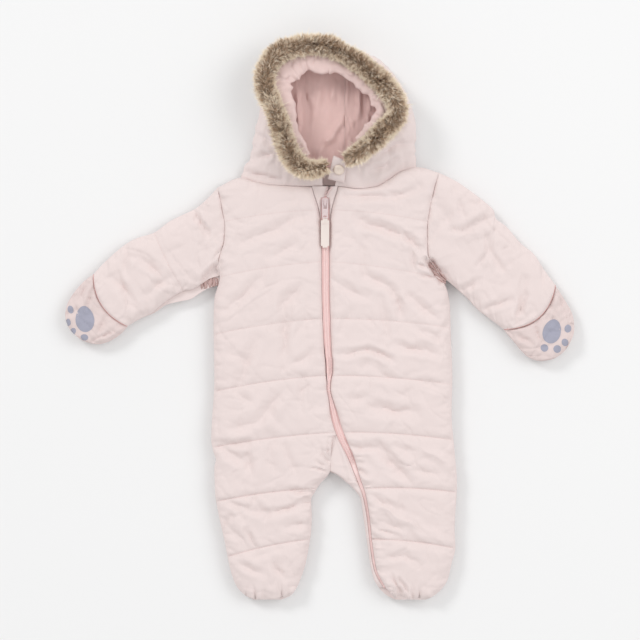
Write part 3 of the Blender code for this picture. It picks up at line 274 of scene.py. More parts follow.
# Creases: a trough (depth above 0) or ridge (below 0). x0, y0, x1, y1, depth, half width
CREASES = [
    (-17, 132, -106, 94, 2.2, 7), (-25, 39, -47, 18, 2.6, 7), (-47, 18, -44, -62, 2.2, 6),
    (-80, 48, -120, 10, 2.2, 6), (-71, 91, -71, 28, 1.4, 6), (-82, -27, -106, -90, 2.0, 7),
    (-12, -47, -34, -62, 1.8, 6), (-46, -95, -73, -130, 2.2, 7), (-73, -130, -114, -146, 2.0, 7),
    (-22, -79, -22, -122, 1.4, 5.5), (33, 156, 98, 156, 2.4, 5.5), (98, 156, 130, 169, 2.0, 5.5),
    (50, 126, 114, 102, 3.2, 6), (114, 102, 130, 88, 2.6, 5.5), (117, 86, 122, 60, 2.2, 4.5),
    (58, 100, 58, 56, 1.6, 5.5), (58, 56, 94, 34, 2.6, 6), (94, 34, 106, 2, 2.6, 5.5),
    (18, 48, 58, 26, 2.0, 6), (118, 28, 151, -1, 2.4, 6), (82, 23, 88, -42, 1.6, 5.5),
    (25, -46, 62, -44, 2.4, 4.5), (62, -44, 94, -56, 2.6, 4.5), (100, -38, 152, -46, 2.6, 5.5),
    (40, -108, 64, -104, 1.8, 5.5), (68, -117, 124, -125, 3.0, 7), (-128, -168, -92, -192, 2.6, 8),
    (-118, -243, -68, -256, 1.8, 5), (-68, -258, -18, -243, 2.2, 5),
    (-42, -272, -12, -270, 2.0, 5.5), (-122, -270, -86, -304, 1.8, 6),
    (37, -167, 74, -168, 2.2, 5.5), (74, -168, 116, -214, 3.2, 7), (134, -168, 174, -200, -1.8, 6),
    (66, -270, 100, -284, 2.6, 6), (83, -248, 158, -292, -2.2, 6), (-168, 146, -144, 108, 2.4, 3.2),
    (-249, 86, -251, 54, 1.8, 5.5), (-232, 78, -200, 50, 2.4, 6), (-196, 50, -224, 32, 2.0, 5.5),
    (-268, 53, -241, 18, 1.8, 5.5), (168, 114, 190, 112, 2.2, 5.5), (190, 112, 226, 130, 2.6, 5.5),
    (212, 112, 220, 90, 1.8, 4.5), (220, 90, 240, 58, 1.8, 4.5), (220, 87, 208, 69, 1.6, 4.5),
    (214, 9, 248, 24, 2.2, 4.5), (266, 48, 260, -6, 1.8, 4.5), (141, 96, 168, 134, 1.6, 4.5),
    (182, 36, 204, 44, 2.0, 4.5), (81, 214, 118, 227, 3.0, 5.5), (66, 185, 98, 204, 2.6, 4.5),
    (-84, 240, -62, 217, 2.4, 4.5), (-88, 204, -58, 211, 2.6, 4.5), (-97, 188, -51, 178, 2.4, 4.5),
    (96, 240, 116, 262, 2.0, 5.5), (-131, 70, -146, 56, 3.0, 3), (138, 76, 158, 42, 4, 2.5),
    (144, 75, 163, 44, 4, 2), (128, 66, 150, 60, 2, 2.5), (130, 54, 154, 50, 2, 2.5),
    (-301, 44, -314, 22, 1.6, 3), (-294, 35, -306, 15, 1.8, 3), (-280, -1, -288, -23, 1.8, 3.5),
    (-270, -17, -292, -32, 1.8, 3), (-262, -22, -280, -34, 1.4, 3), (254, -21, 274, -36, 1.8, 3),
    (246, -17, 258, -36, 1.4, 3), (282, -6, 287, -36, 1.6, 3.5), (314, 28, 318, 2, 1.8, 3.5),
    (300, 12, 308, 28, 1.2, 3), (268, 30, 262, 6, 1.4, 4), (-262, 66, -256, 30, 1.4, 4),
    (-214, 46, -186, 38, 1.4, 4), (180, 150, 192, 134, 1.6, 5), (150, 150, 172, 118, 1.4, 6),
    (-120, -166, -92, -164, 2, 5), (-92, -164, -88, -206, 1.6, 5), (-62, -156, -62, -200, 1.4, 5),
    (-44, -166, -30, -206, 1.4, 5), (-34, -224, -10, -228, 2.2, 4), (-116, -240, -98, -262, 1.3, 4),
    (-92, -232, -70, -262, 1.6, 5), (-112, -252, -124, -282, 0.9, 4), (-96, -276, -84, -296, 2.2, 4),
    (-104, -322, -76, -334, 2, 5), (-60, -316, -48, -340, 1.8, 5), (-84, -310, -52, -304, 1.4, 5),
    (42, -196, 62, -206, 2, 4), (96, -170, 120, -178, 1.6, 5), (120, -198, 152, -206, 1.6, 5),
    (66, -232, 104, -250, 1.6, 5), (74, -262, 106, -274, 1.8, 4), (112, -262, 150, -288, 1.8, 4),
    (86, -312, 112, -308, 1.6, 5), (110, -306, 130, -322, 1.4, 5), (95, -336, 106, -359, 1.8, 2.4),
    (104, -340, 114, -360, 1.6, 2.2), (-118, -44, -96, -58, 1.4, 5), (-70, -118, -50, -140, 1.4, 5),
    (-110, -96, -88, -112, 1.6, 5), (60, -62, 96, -84, 1.4, 6), (132, -84, 158, -92, 1.4, 5),
    (28, -20, 40, 8, 1.2, 5), (13, -200, -4, -184, 1.2, 2.4), (14, -198, 3, -170, 1.3, 2.4),
    (15, -197, 12, -162, 1.4, 2.2), (11, -203, -12, -196, 1, 2.4), (19, -196, 23, -172, 2.2, 2),
    (25, -201, 26, -178, 1.6, 2), (31, -206, 35, -188, 1.6, 2), (122, -14, 156, -26, 1.4, 5),
    (-30, 96, -62, 78, 1.4, 6),
]
# Hollows under the arms: x, y, depth, half width
PITS = [(152, 59, 9, 6), (158, 51, 9, 5.5), (146, 69, 6, 5), (-136, 56, 7, 6), (-146, 50, 6, 5)]
# Folds of the lining on the hood's floor: x0, y0, x1, y1, depth, half width
LINING_FOLDS = [
    (33, 255, 12, 231, -3.2, 6), (12, 231, -1, 211, -2.8, 6), (40, 262, 22, 236, 2.0, 5),
    (44, 292, 40, 262, 1.8, 5), (52, 300, 48, 270, -1.6, 6), (62, 292, 56, 262, 1.3, 5),
    (68, 282, 62, 258, -1.5, 6), (55, 258, 47, 237, 1.5, 5), (-8, 304, -2, 268, -2.2, 7),
    (4, 306, 12, 280, 2.0, 6), (20, 300, 16, 276, -1.6, 6), (-30, 290, -26, 246, -2.8, 6),
    (-20, 286, -18, 250, 2.2, 5), (-22, 250, -14, 222, 2.2, 5), (-8, 246, 2, 226, 1.6, 7),
    (14, 276, 30, 268, 1.4, 8), (30, 314, 33, 266, 1.4, 2), (33, 266, 47, 232, 1.8, 2),
    (60, 268, 76, 262, 2, 3), (66, 258, 80, 258, 1.6, 3)]

# A crease: how far it wanders and over what length, the share of its depth that its ends have,
# and the shares and places of the sharp line in it and of its raised lips, in half widths
CREASE_WANDER = ((3.0, 17), (1.2, 6))
CREASE_END = 0.45
SHARP_SHARE, SHARP_HALF = 0.3, 0.3
LIP_SHARE, LIP_AT, LIP_HALF = 0.25, 1.9, 0.8
# Long wrinkles: direction in radians and spacing of each set, their depth and how drawn out
WRINKLE_SETS = ((0.5, 24), (2.3, 20), (1.5, 27), (2.9, 17))
SET_DEPTH, SET_STRETCH = 0.42, 2.4
# Short chance wrinkles, from the least to the most: half length, half width and depth. A sign
# below 0 makes a ridge. Then the depth and size of the slight unevenness under them.
DENT_WANDER = ((2.0, 12),)
DENT_RUN, DENT_HALF, DENT_DEPTH = (7, 24), (1.3, 4.2), (0.15, 0.75)
DENT_SIGNS = [1, 1, -0.6]
DENT_REACH = 12
UNEVEN = ((0.35, 22), (0.12, 7))
# Quilting: half widths of the valley and of the tight line in it, that line's share of the
# depth, and the sizes, place and reach of the puckers beside it
VALLEY_HALF, STITCH_HALF, STITCH_SHARE = 5.5, 1.2, 0.45
PUCKER_SIZES = (7.5, 3.8)
PUCKER_AT, PUCKER_REACH = 3, 8.0
QUILT_AT_EDGE = 0.35            # share of the quilting's depth at the edge of a piece
# y, full height of a front's padding, then y, strength of the puckers that run in from the zip
FRONT_HEIGHTS = [(-368, FOOT_HEIGHT), (-300, LEG_HEIGHT), (-150, LEG_HEIGHT), (0, BODY_HEIGHT),
                 (190, BODY_HEIGHT)]
ZIP_PUCKERS = [(-368, 1.7), (-200, 1.6), (-130, 0.8), (0, 0.5), (170, 0.4)]
TOE_ROLL, NECK_ROLL = 20.0, 15.0
NECK_THIN = 0.25                # share of the neck's width, from the side, where its edge is thin
TOE_REACH, TOE_PLEATS, TOE_WAVES = 19, 2.4, 3.2

# Paw prints, the pad and then its toes: x, y, half width, half height, taper towards the fingers,
# turn in degrees
PRINTS = {
    "right": [(-305.0, -2.6, 12.9, 17.0, 0.2, 6), (-323.8, 9.6, 3.8, 5.2, 0, 15),
              (-326.6, -6.8, 3.2, 4.7, 0, 5), (-320.6, -18.6, 3.8, 4.6, 0, -30),
              (-305.6, -26.4, 4.9, 4.0, 0, -10)],
    "left": [(302.3, -18.6, 12.4, 16.0, 0.16, -16), (323.0, -15.1, 4.4, 5.2, 0, -10),
             (319.2, -33.0, 4.4, 4.9, 0, 30), (309.1, -41.6, 5.0, 5.0, 0, 30),
             (292.5, -40.2, 4.9, 4.8, 0, -20)],
}
PRINT_LIFT = 0.22

# Lights: name, place in metres, width of the disk, power in watts
LIGHTS = (("key", (-4.6, 4.2, 5.0), 2.4, 166.0), ("fill", (3.5, 1.3, 3.8), 3.6, 74.0))
WORLD_STRENGTH = 0.755
CAMERA_AT = (0.00065, -0.0039, 3.52)
SENSOR_MM = 36.0
LENS_MM = 151.4
FLOOR_HALF = 9000.0
FLOOR_DROP = 0.2

# Cloths: size of a thread in millimetres, sheen, unevenness of the dye, depth of the weave
COTTON = (0.5, 0.15, 0.02, 0.05)
UNDERARM_PAINTED_SHADE = 0.66           # painted shade: share of the lining colour that the cloth under the arms keeps, so that it looks as if it lies in shade
THREAD_TINT = (0.97, 0.9, 0.9)

# Lines that stitches follow, gathered by the operators that make the cloth
THREAD_LINES = []


def curve(table, at):
    """Smooth value of a (place, value) table at a place, with no overshoot."""
    rows = np.array(sorted(table), dtype=float)
    x, y = rows[:, 0], rows[:, 1]
    step = np.diff(x)
    slope = np.diff(y) / step
    tangent = np.zeros(len(x))
    same = slope[:-1] * slope[1:] > 0
    tangent[1:-1][same] = 2 / (1 / slope[:-1][same] + 1 / slope[1:][same])
    tangent[0] = slope[0]
    tangent[-1] = slope[-1]
    at = np.clip(at, x[0], x[-1])
    i = np.clip(np.searchsorted(x, at) - 1, 0, len(x) - 2)
    t = (at - x[i]) / step[i]
    return ((1 + 2 * t) * (1 - t) ** 2 * y[i] + t * (1 - t) ** 2 * step[i] * tangent[i]
            + t * t * (3 - 2 * t) * y[i + 1] + t * t * (t - 1) * step[i] * tangent[i + 1])


def smooth_rows(control, places):
    """Rows read at fractional places off a smooth surface through control rows."""
    control = np.array(control, dtype=float)
    ends = np.concatenate([2 * control[:1] - control[1:2], control,
                           2 * control[-1:] - control[-2:-1]])
    rows = []
    for place in places:
        i = min(int(place), len(control) - 2)
        t = place - i
        p0, p1, p2, p3 = ends[i:i + 4]
        rows.append(0.5 * (2 * p1 + (p2 - p0) * t + (2 * p0 - 5 * p1 + 4 * p2 - p3) * t ** 2
                           + (3 * p1 - p0 - 3 * p2 + p3) * t ** 3))
    return np.array(rows)


def through(points, count):
    """count points evenly spaced along a smooth line through given points."""
    fine = smooth_rows(points, np.linspace(0, len(points) - 1, 12 * (len(points) - 1) + 1))
    return evenly(fine, count)


def evenly(line, count):
    """count points evenly spaced along a line of points."""
    run = np.concatenate([[0], np.cumsum(np.linalg.norm(np.diff(line, axis=0), axis=1))])
    want = np.linspace(0, run[-1], count)
    return np.stack([np.interp(want, run, line[:, k]) for k in range(line.shape[1])], axis=1)


def round_turn(count):
    """count angles spaced evenly round a full turn."""
    return np.linspace(0, 2 * math.pi, count, endpoint=False)


def unit(vectors):
    """Rows of vectors, each made 1 long."""
    return vectors / np.linalg.norm(vectors, axis=1, keepdims=True)


def level_across(ahead):
    """Level directions square to the steps of a route, on their left."""
    return unit(np.stack([-ahead[:, 1], ahead[:, 0], 0 * ahead[:, 0]], axis=1))


def tapered(place, least, rise):
    """1 along most of a route whose places run from 0 to 1, falling to least at both ends."""
    return np.minimum(1, least + rise * np.minimum(place, 1 - place))


def nearest(first, *others):
    """The least of several distances, point by point."""
    for other in others:
        first = np.minimum(first, other)
    return first


def rounding(distance, roll):
    """0 at an edge, rising to 1 a roll width in from it, like the side of a cushion."""
    inside = np.clip(distance / roll, 0, 1)
    return np.sqrt(1 - (1 - inside) ** 2)


def noise(x, y, size, seed):
    """Smooth random field between -1 and 1 with lumps about size across."""
    lattice = np.random.default_rng(seed).uniform(-1, 1, (LATTICE, LATTICE))
    u = np.asarray(x) / size + LATTICE_START
    v = np.asarray(y) / size + LATTICE_START
    i = np.floor(u).astype(int)
    j = np.floor(v).astype(int)
    a = u - i
    b = v - j
    a = a * a * (3 - 2 * a)
    b = b * b * (3 - 2 * b)
    corner = [lattice[(i + di) % LATTICE, (j + dj) % LATTICE]
              for di, dj in ((0, 0), (1, 0), (0, 1), (1, 1))]
    low = corner[0] + (corner[1] - corner[0]) * a
    high = corner[2] + (corner[3] - corner[2]) * a
    return low + (high - low) * b


def edge_distances(grid):
    """In-plane distance of each grid point from the four edges of its own row or column."""
    flat = grid[:, :, :2]
    across = np.linalg.norm(np.diff(flat, axis=1), axis=2)
    along = np.linalg.norm(np.diff(flat, axis=0), axis=2)
    left = np.concatenate([np.zeros((len(flat), 1)), np.cumsum(across, axis=1)], axis=1)
    low = np.concatenate([np.zeros((1, flat.shape[1])), np.cumsum(along, axis=0)], axis=0)
    return left, left[:, -1:] - left, low, low[-1:] - low


def padded_height(plan, full, edges, dips):
    """Outer height of a padded piece: its full height, rolled down at each edge."""
    drop = np.zeros(plan.shape[:2])
    for away, (height, roll) in zip(edge_distances(plan), edges):
        drop += (np.maximum(full - height, 0) * (1 - rounding(away, roll))) ** 3
    return full - np.cbrt(drop) - dips


def segment_distance(x, y, x0, y0, x1, y1):
    """Distance from points to a line from (x0, y0) to (x1, y1), and the place along it."""
    dx, dy = x1 - x0, y1 - y0
    t = np.clip(((x - x0) * dx + (y - y0) * dy) / (dx * dx + dy * dy), 0, 1)
    return np.hypot(x - x0 - t * dx, y - y0 - t * dy), t


def strayed(x, y, wander, seed):
    """Both coordinates moved about by noise, so that a line drawn over them wanders."""
    moved = []
    for places in (x, y):
        for far, size in wander:
            places = places + far * noise(x, y, size, seed)
            seed += 1
        moved.append(places)
    return moved


def creased(x, y, sizes, table=CREASES):
    """Depth of the large creases: a soft trough with a sharp line in it and raised lips."""
    wx, wy = strayed(x, y, CREASE_WANDER, 11)
    drop = np.zeros(np.shape(x))
    for x0, y0, x1, y1, depth, half in table:
        away, t = segment_distance(wx, wy, x0, y0, x1, y1)
        run = CREASE_END + (1 - CREASE_END) * np.sin(math.pi * np.clip(t, 0.02, 0.98))
        soft = np.exp(-(away / half) ** 2)
        sharp = np.exp(-(away / (SHARP_HALF * half)) ** 1.5)
        lips = np.exp(-((away - LIP_AT * half) / (LIP_HALF * half)) ** 2)
        drop += depth * run * ((1 - SHARP_SHARE) * soft + SHARP_SHARE * sharp - LIP_SHARE * lips)
    for x0, y0, depth, half in PITS:
        drop += depth * np.exp(-(np.hypot(x - x0, y - y0) / half) ** 2)
    return drop * sizes.crease_depth


def crisp(x, y, seed, size, turn):
    """Long thin wrinkle lines that wander across the cloth in patches, along one main direction."""
    u = (x * math.cos(turn) + y * math.sin(turn)) / SET_STRETCH
    v = -x * math.sin(turn) + y * math.cos(turn)
    lines = np.exp(-(noise(u, v, size, seed) / 0.11) ** 2)
    return lines * np.clip(0.15 + 1.9 * noise(x, y, 34, seed + 1), 0, 1)


def rumpled(x, y, seed, sizes, count=150, spread=1.0):
    """Small chance wrinkles: short soft lines at all angles, and a slight unevenness."""
    rng = np.random.default_rng(seed)
    low_x, high_x, low_y, high_y = x.min(), x.max(), y.min(), y.max()
    wx, wy = strayed(x, y, DENT_WANDER, seed + 1)
    broad, fine = (deep * noise(x, y, size, seed + 3 + k) for k, (deep, size) in enumerate(UNEVEN))
    drop = broad + fine
    for k, (turn, size) in enumerate(WRINKLE_SETS):
        drop += SET_DEPTH * crisp(wx, wy, seed + 20 + 3 * k, size, turn)
    for _ in range(count):
        cx, cy = rng.uniform(low_x, high_x), rng.uniform(low_y, high_y)
        angle = rng.uniform(0, math.pi)
        half_run = rng.uniform(*DENT_RUN)
        half = rng.uniform(*DENT_HALF)
        depth = rng.uniform(*DENT_DEPTH) * rng.choice(DENT_SIGNS)
        dx, dy = half_run * math.cos(angle), half_run * math.sin(angle)
        reach = half_run + DENT_REACH
        near = (np.abs(wx - cx) < reach) & (np.abs(wy - cy) < reach)
        away, t = segment_distance(wx[near], wy[near], cx - dx, cy - dy, cx + dx, cy + dy)
        fade = np.sin(math.pi * np.clip(t, 0.03, 0.97))
        drop[near] += depth * np.exp(-(away / half) ** 2) * fade
    return drop * sizes.wrinkle_depth * spread


def channels(from_line, along, seed, sizes):
    """Quilting channel: a soft valley, a tight stitched line and puckers across it."""
    valley = ((1 - STITCH_SHARE) * np.exp(-(from_line / VALLEY_HALF) ** 2)
              + STITCH_SHARE * np.exp(-(from_line / STITCH_HALF) ** 2))
    row = along * 0 + seed
    ripple = noise(along, row, PUCKER_SIZES[0], 21) + 0.5 * noise(along, row, PUCKER_SIZES[1], 22)
    reach = np.exp(-((from_line - PUCKER_AT) / PUCKER_REACH) ** 2)
    return sizes.quilt_depth / MM * valley + sizes.pucker_depth / MM * ripple * reach


def gathers(along, away, seed, size, reach):
    """Small puckers that run in from a seam: 1 at their highest, fading a reach away."""
    waves = noise(along, away * 0.25 + seed, size, 31)
    waves = waves + 0.6 * noise(along, away * 0.4 + seed, size * 0.5, 32)
    lines = np.exp(-(noise(along, away * 0.3 + seed, size * 1.1, 33) / 0.2) ** 2)
    return (waves + 0.9 * lines) * np.exp(-(away / reach) ** 1.5) * rounding(away, 3.0)


def zip_middle(y):
    """x of the middle of the zip."""
    return curve(ZIP_CENTRE, y)


def zip_edge(y, side):
    """x of one edge of the opening that the zip closes."""
    return zip_middle(y) + side * curve(ZIP_HALF, y)


def crowded(count):
    """Places from 0 to 1 in count steps that are finer towards both ends."""
    return (1 - np.cos(np.linspace(0, math.pi, count + 1))) / 2


def body_rows(lines, top, across, down, side_x, middle_x):
    """Plan of a body and leg piece with rows that run along its quilting lines, the
    distance of each point from the nearest line, and which line that is."""
    share = crowded(across) * 0.5 + np.linspace(0, 1, across + 1) * 0.5
    plan, from_line, line_at = [], [], []
    last = len(lines) - 2
    for band, (low, high) in enumerate(zip(lines, lines[1:])):
        length = (high[0] + high[1] - low[0] - low[1]) / 2
        steps = list(np.linspace(0, 1, max(int(length / down), 4), endpoint=band == last))
        if band == 0:
            steps = sorted(set(steps) | {0.004, 0.012, 0.03})
        for t in steps:
            side_y = low[0] + t * (high[0] - low[0])
            middle_y = low[1] + t * (high[1] - low[1])
            y = side_y + (middle_y - side_y) * share
            x = side_x(side_y) + (middle_x(middle_y) - side_x(side_y)) * share
            if band == last:
                top_x = side_x(high[0]) + (middle_x(high[1]) - side_x(high[0])) * share
                y = y + t * (curve(top, top_x) - high[0] - (high[1] - high[0]) * share)
            bow = LINE_BOW * 4 * share * (1 - share)
            y = y + bow * (t if band == 0 else 1 - t if band == last else 1)
            plan.append(np.stack([x, y], axis=1))
            below = FAR if band == 0 else t * length
            above = FAR if band == last else (1 - t) * length
            from_line.append(min(below, above))
            line_at.append(band if below < above else band + 1)
    return np.array(plan), np.array(from_line)[:, None], np.array(line_at)[:, None]


def with_height(plan, height):
    """Points of a plan, each at its height."""
    return np.dstack([plan, np.broadcast_to(height, plan.shape[:2])])


def flat_mesh(name, points, faces):
    """A mesh from points in millimetres and faces."""
    data = bpy.data.meshes.new(name)
    data.from_pydata((np.asarray(points) * MM).tolist(), [], faces)
    return data


def placed(data, finish):
    """An object that shows a mesh in one finish."""
    data.materials.append(finish)
    item = bpy.data.objects.new(data.name, data)
    bpy.context.scene.collection.objects.link(item)
    return item


def made(name, points, faces, finish, sharp=55.0):
    """An object from points in millimetres and faces, turned right side out."""
    data = flat_mesh(name, points, faces)
    shape = bmesh.new()
    shape.from_mesh(data)
    bmesh.ops.recalc_face_normals(shape, faces=shape.faces)
    if shape.calc_volume(signed=True) < 0:
        bmesh.ops.reverse_faces(shape, faces=shape.faces)
    shape.to_mesh(data)
    shape.free()
    data.shade_smooth()
    data.set_sharp_from_angle(angle=math.radians(sharp))
    return placed(data, finish)


def grid_faces(rows, columns, start=0, flip=False):
    """Faces between the points of a grid, row by row."""
    at = start + np.arange(rows * columns).reshape(rows, columns)
    quads = np.stack([at[:-1, :-1], at[:-1, 1:], at[1:, 1:], at[1:, :-1]], axis=2).reshape(-1, 4)
    return (quads[:, ::-1] if flip else quads).tolist()


def rim_of(rows, columns):
    """Points round the edge of a grid, in order."""
    at = np.arange(rows * columns).reshape(rows, columns)
    return np.concatenate([at[0, :-1], at[:-1, -1], at[-1, :0:-1], at[:0:-1, 0]])


def closed_wall(name, outer, inner, finish):
    """A closed piece from an outer and an inner grid of points."""
    rows, columns = outer.shape[:2]
    size = rows * columns
    points = np.concatenate([outer.reshape(-1, 3), inner.reshape(-1, 3)])
    rim = rim_of(rows, columns)
    turn = np.roll(rim, -1)
    sides = np.stack([rim, rim + size, turn + size, turn], axis=1).tolist()
    faces = grid_faces(rows, columns) + grid_faces(rows, columns, size, True) + sides
    return made(name, points, faces, finish)


def cushion(name, outer, flat, finish):
    """A padded piece on a level face at height flat."""
    rows, columns = outer.shape[:2]
    points = outer.reshape(-1, 3)
    rim = rim_of(rows, columns)
    bottom = points[rim].copy()
    bottom[:, 2] = flat
    low = len(points) + np.arange(len(rim))
    sides = np.stack([rim, low, np.roll(low, -1), np.roll(rim, -1)], axis=1).tolist()
    return made(name, np.concatenate([points, bottom]),
                grid_faces(rows, columns) + sides + [low[::-1].tolist()], finish)


def front_panel(name, lines, top, side, middle_x, middle_edge, side_edge, finish, seed, sizes):
    """A padded front and leg, quilted across. Gives the lines of its stitches."""
    plan, from_line, line_at = body_rows(lines, top, FRONT_ACROSS, FRONT_STEP, side, middle_x)
    x, y = plan[:, :, 0], plan[:, :, 1]
    full = curve(FRONT_HEIGHTS, y)
    first, last = y[:, :1], y[:, -1:]
    share = np.linspace(0, 1, plan.shape[1])
    neck = np.where(share < NECK_THIN, FRONT_EDGE, NECK_EDGE)
    edges = [(curve(side_edge[0], first), curve(side_edge[1], first)),
             (curve(middle_edge[0], last), curve(middle_edge[1], last)),
             (FRONT_EDGE, TOE_ROLL), (neck[None, :], NECK_ROLL)]
    left, right, low, high = edge_distances(plan)
    near = nearest(left, right, low, high)
    inside = rounding(nearest(left, right), 12) * rounding(nearest(low, high), 12)
    dips = (rounding(near, 5) * creased(x, y, sizes)
            + rounding(near, 9) * rumpled(x, y, seed, sizes)
            + (QUILT_AT_EDGE + (1 - QUILT_AT_EDGE) * inside) * np.array(LINE_PULL)[line_at]
            * channels(from_line, left, seed + line_at, sizes))
    pull = sizes.seam_gather / MM
    dips = dips + pull * (gathers(y, left, seed, 9.0, 15)
                          + curve(ZIP_PUCKERS, y) * gathers(y, right, seed + 5, 7.0, 12))
    toe = np.exp(-(low / TOE_REACH) ** 2) * rounding(low, 4)
    pleats = np.exp(-(noise(x, low * 0.2, 9.0, seed + 11) / 0.22) ** 2)
    waves = noise(x, low * 0.16, 6.5, seed + 9)
    dips = dips + pull * toe * (TOE_PLEATS * pleats + TOE_WAVES * waves)
    outer = np.maximum(padded_height(plan, full, edges, dips), FRONT_BASE + THIN_WALL)
    outer = with_height(plan, outer)
    stitched = [outer[i] for i in np.where(from_line[:, 0] == 0)[0]]
    return cushion(name, outer, FRONT_BASE, finish), stitched


def back_piece(name, lines, top, side, middle_x, foot, finish):
    """Back of the body and leg above the heel seam, or the sole below it."""
    plan, from_line, line_at = body_rows(lines, top, BACK_ACROSS, BACK_STEP, side, middle_x)
    across = (plan[:, :, 0] - plan[:, :1, 0]) / (plan[:, -1:, 0] - plan[:, :1, 0])
    heel = HEEL_SIDE + (HEEL_MIDDLE - HEEL_SIDE) * across
    inside_piece = plan[:, :, 1] < heel if foot else plan[:, :, 1] > heel + SEAM_GAP
    keep = np.where(inside_piece.all(axis=1))[0]
    rows = plan[keep]
    share = across[0]
    seam = np.stack([side(HEEL_SIDE) * (1 - share) + middle_x(HEEL_MIDDLE) * share,
                     HEEL_SIDE + (HEEL_MIDDLE - HEEL_SIDE) * share], axis=1)
    parts = [(rows, [seam + [0, SEAM_GAP / 2 * (-1 if foot else 1)]]),
             (from_line[keep], [[FAR]]), (line_at[keep], [[1]])]
    rows, near_line, line = (np.concatenate([kept, added] if foot else [added, kept])
                             for kept, added in parts)
    left, right, low, high = edge_distances(rows)
    if foot:
        outline = nearest(left, low, right)
    else:
        outline = np.where(rows[:, :, 1] < -195, nearest(left, right), left)
        outline = nearest(outline, high + 4)
    lift = BACK_EDGE * (1 - rounding(outline, 15))
    inside = rounding(nearest(left, right, low, high), 8)
    puckers = 1 + noise(left, line * 1.0, 7, 31)
    lift = lift + inside * (1.6 * np.exp(-(near_line / 3.0) ** 2)
                            + 0.5 * np.exp(-((near_line - 2) / 6) ** 2) * puckers)
    return cushion(name, with_height(rows, lift), BACK_BASE, finish)


def limb_plan(rows, across, places, hand, seam=None, seam_gap=0.1):
    """Plan of a sleeve or mitt, read off smooth lines through its rows."""
    share = crowded(across)
    control = []
    for upper_x, upper_y, lower_x, lower_y, bow in rows:
        start, end = np.array([upper_x, upper_y]), np.array([lower_x, lower_y])
        run = end - start
        towards_hand = hand * np.array([-run[1], run[0]]) / np.linalg.norm(run)
        control.append(start + run * share[:, None]
                       + towards_hand * (bow * 4 * share * (1 - share))[:, None])
    if seam:
        control[0][:, 0] = curve(seam, control[0][:, 1]) + hand * seam_gap
    return smooth_rows(control, places)


def limb_front(name, plan, full, ends, quilt, finish, seed, sizes, bunched, quilted=0):
    """Upper layer of a sleeve or mitt. ends gives the heights and rolls of its two ends."""
    side = (FRONT_EDGE, SIDE_ROLL)
    left, right, low, high = edge_distances(plan)
    near = nearest(left, right, low, high)
    inside = rounding(nearest(left, right), 12) * rounding(nearest(low, high), 10)
    x, y = plan[:, :, 0], plan[:, :, 1]
    dips = (rounding(near, 5) * creased(x, y, sizes)
            + rounding(near, 8) * rumpled(x, y, seed, sizes, 50, bunched))
    pull = sizes.seam_gather / MM
    dips = dips + pull * (gathers(low, left, seed, 9.0, 13) + gathers(low, right, seed + 5, 9.0, 13)
                          + 0.8 * gathers(left, high, seed + 6, 7.0, 14)
                          + 0.6 * gathers(left, low, seed + 7, 8.0, 12))
    if quilt is not None:
        away = np.min(np.linalg.norm(plan[:, :, None] - plan[quilt][None, None], axis=3), axis=2)
        depth = quilted * (QUILT_AT_EDGE + (1 - QUILT_AT_EDGE) * inside)
        dips = dips + depth * channels(away, left, seed, sizes)
    outer = padded_height(plan, full, [side, side, *ends], dips)
    outer = with_height(plan, np.maximum(outer, FRONT_BASE + THIN_WALL))
    return cushion(name, outer, FRONT_BASE, finish), outer


def limb_back(name, plan, closed_tip, finish, seed, sizes):
    """Under layer of a sleeve or mitt, rounded up at its outline and softly wrinkled."""
    left, right, low, high = edge_distances(plan)
    outline = nearest(left, right, high) if closed_tip else nearest(left, right)
    wrinkles = np.abs(rumpled(plan[:, :, 0], plan[:, :, 1], seed, sizes, 24))
    lift = BACK_EDGE * (1 - rounding(outline, 15)) + rounding(nearest(outline, low), 10) * wrinkles
    return cushion(name, with_height(plan, lift), BACK_BASE, finish)


def finish_piece(piece, nodes, body="garment"):
    """Rides a piece on its body, in its nodes' place."""
    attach(piece, body)
    if nodes:
        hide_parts(*nodes)
    return piece


def make_fronts(sizes, shell):
    """Both front panels and the gusset. Gives the lines of the stitches in their quilting."""
    half = SEAM_GAP / 2
    armhole = [(188, ARMHOLE_EDGE), (66, ARMHOLE_EDGE), (40, FRONT_EDGE), (-368, FRONT_EDGE)]
    roll = [(188, 10), (66, 10), (40, SIDE_ROLL), (-368, SIDE_ROLL)]

    def right_middle(y):
        return curve(RIGHT_INNER_LEG, y) if y < -155 else zip_edge(y, -1) - half

    def left_middle(y):
        if y >= ZIP_BOTTOM:
            return zip_edge(y, 1) + half
        return curve([(ZIP_BOTTOM, zip_edge(ZIP_BOTTOM, 1) + half), (-368, 100)], y)

    panels = (
        ("right", LINES_AT_RIGHT_SIDE, RIGHT_TOP, RIGHT_SIDE, right_middle,
         ([(170, ZIP_EDGE), (-198, ZIP_EDGE), (-214, FRONT_EDGE), (-368, FRONT_EDGE)],
          [(170, ZIP_ROLL), (-150, ZIP_ROLL), (-195, 13), (-222, 22), (-368, 22)]), 101),
        ("left", LINES_AT_LEFT_SIDE, LEFT_TOP, LEFT_SIDE, left_middle,
         ([(170, ZIP_EDGE), (-340, ZIP_EDGE), (-368, FRONT_EDGE)],
          [(170, ZIP_ROLL), (-368, ZIP_ROLL)]), 202))
    lines_of_thread = []
    for name, side_lines, top, side, middle, middle_edge, seed in panels:
        piece, stitched = front_panel(
            f"front_panel_{name}", list(zip(side_lines, LINES_AT_MIDDLE)), top,
            lambda y, side=side: curve(side, y), middle, middle_edge, (armhole, roll), shell, seed, sizes)
        finish_piece(piece, [f"front_{name}"])
        lines_of_thread += [row[3:-3] for row in stitched]
    lines_of_thread.append(make_gusset(sizes, shell))
    return lines_of_thread


def gusset_left(y):
    """x of the gusset's edge on the wearer's right."""
    return curve(RIGHT_INNER_LEG if y > -200 else GUSSET_LEFT, y) + 0.1


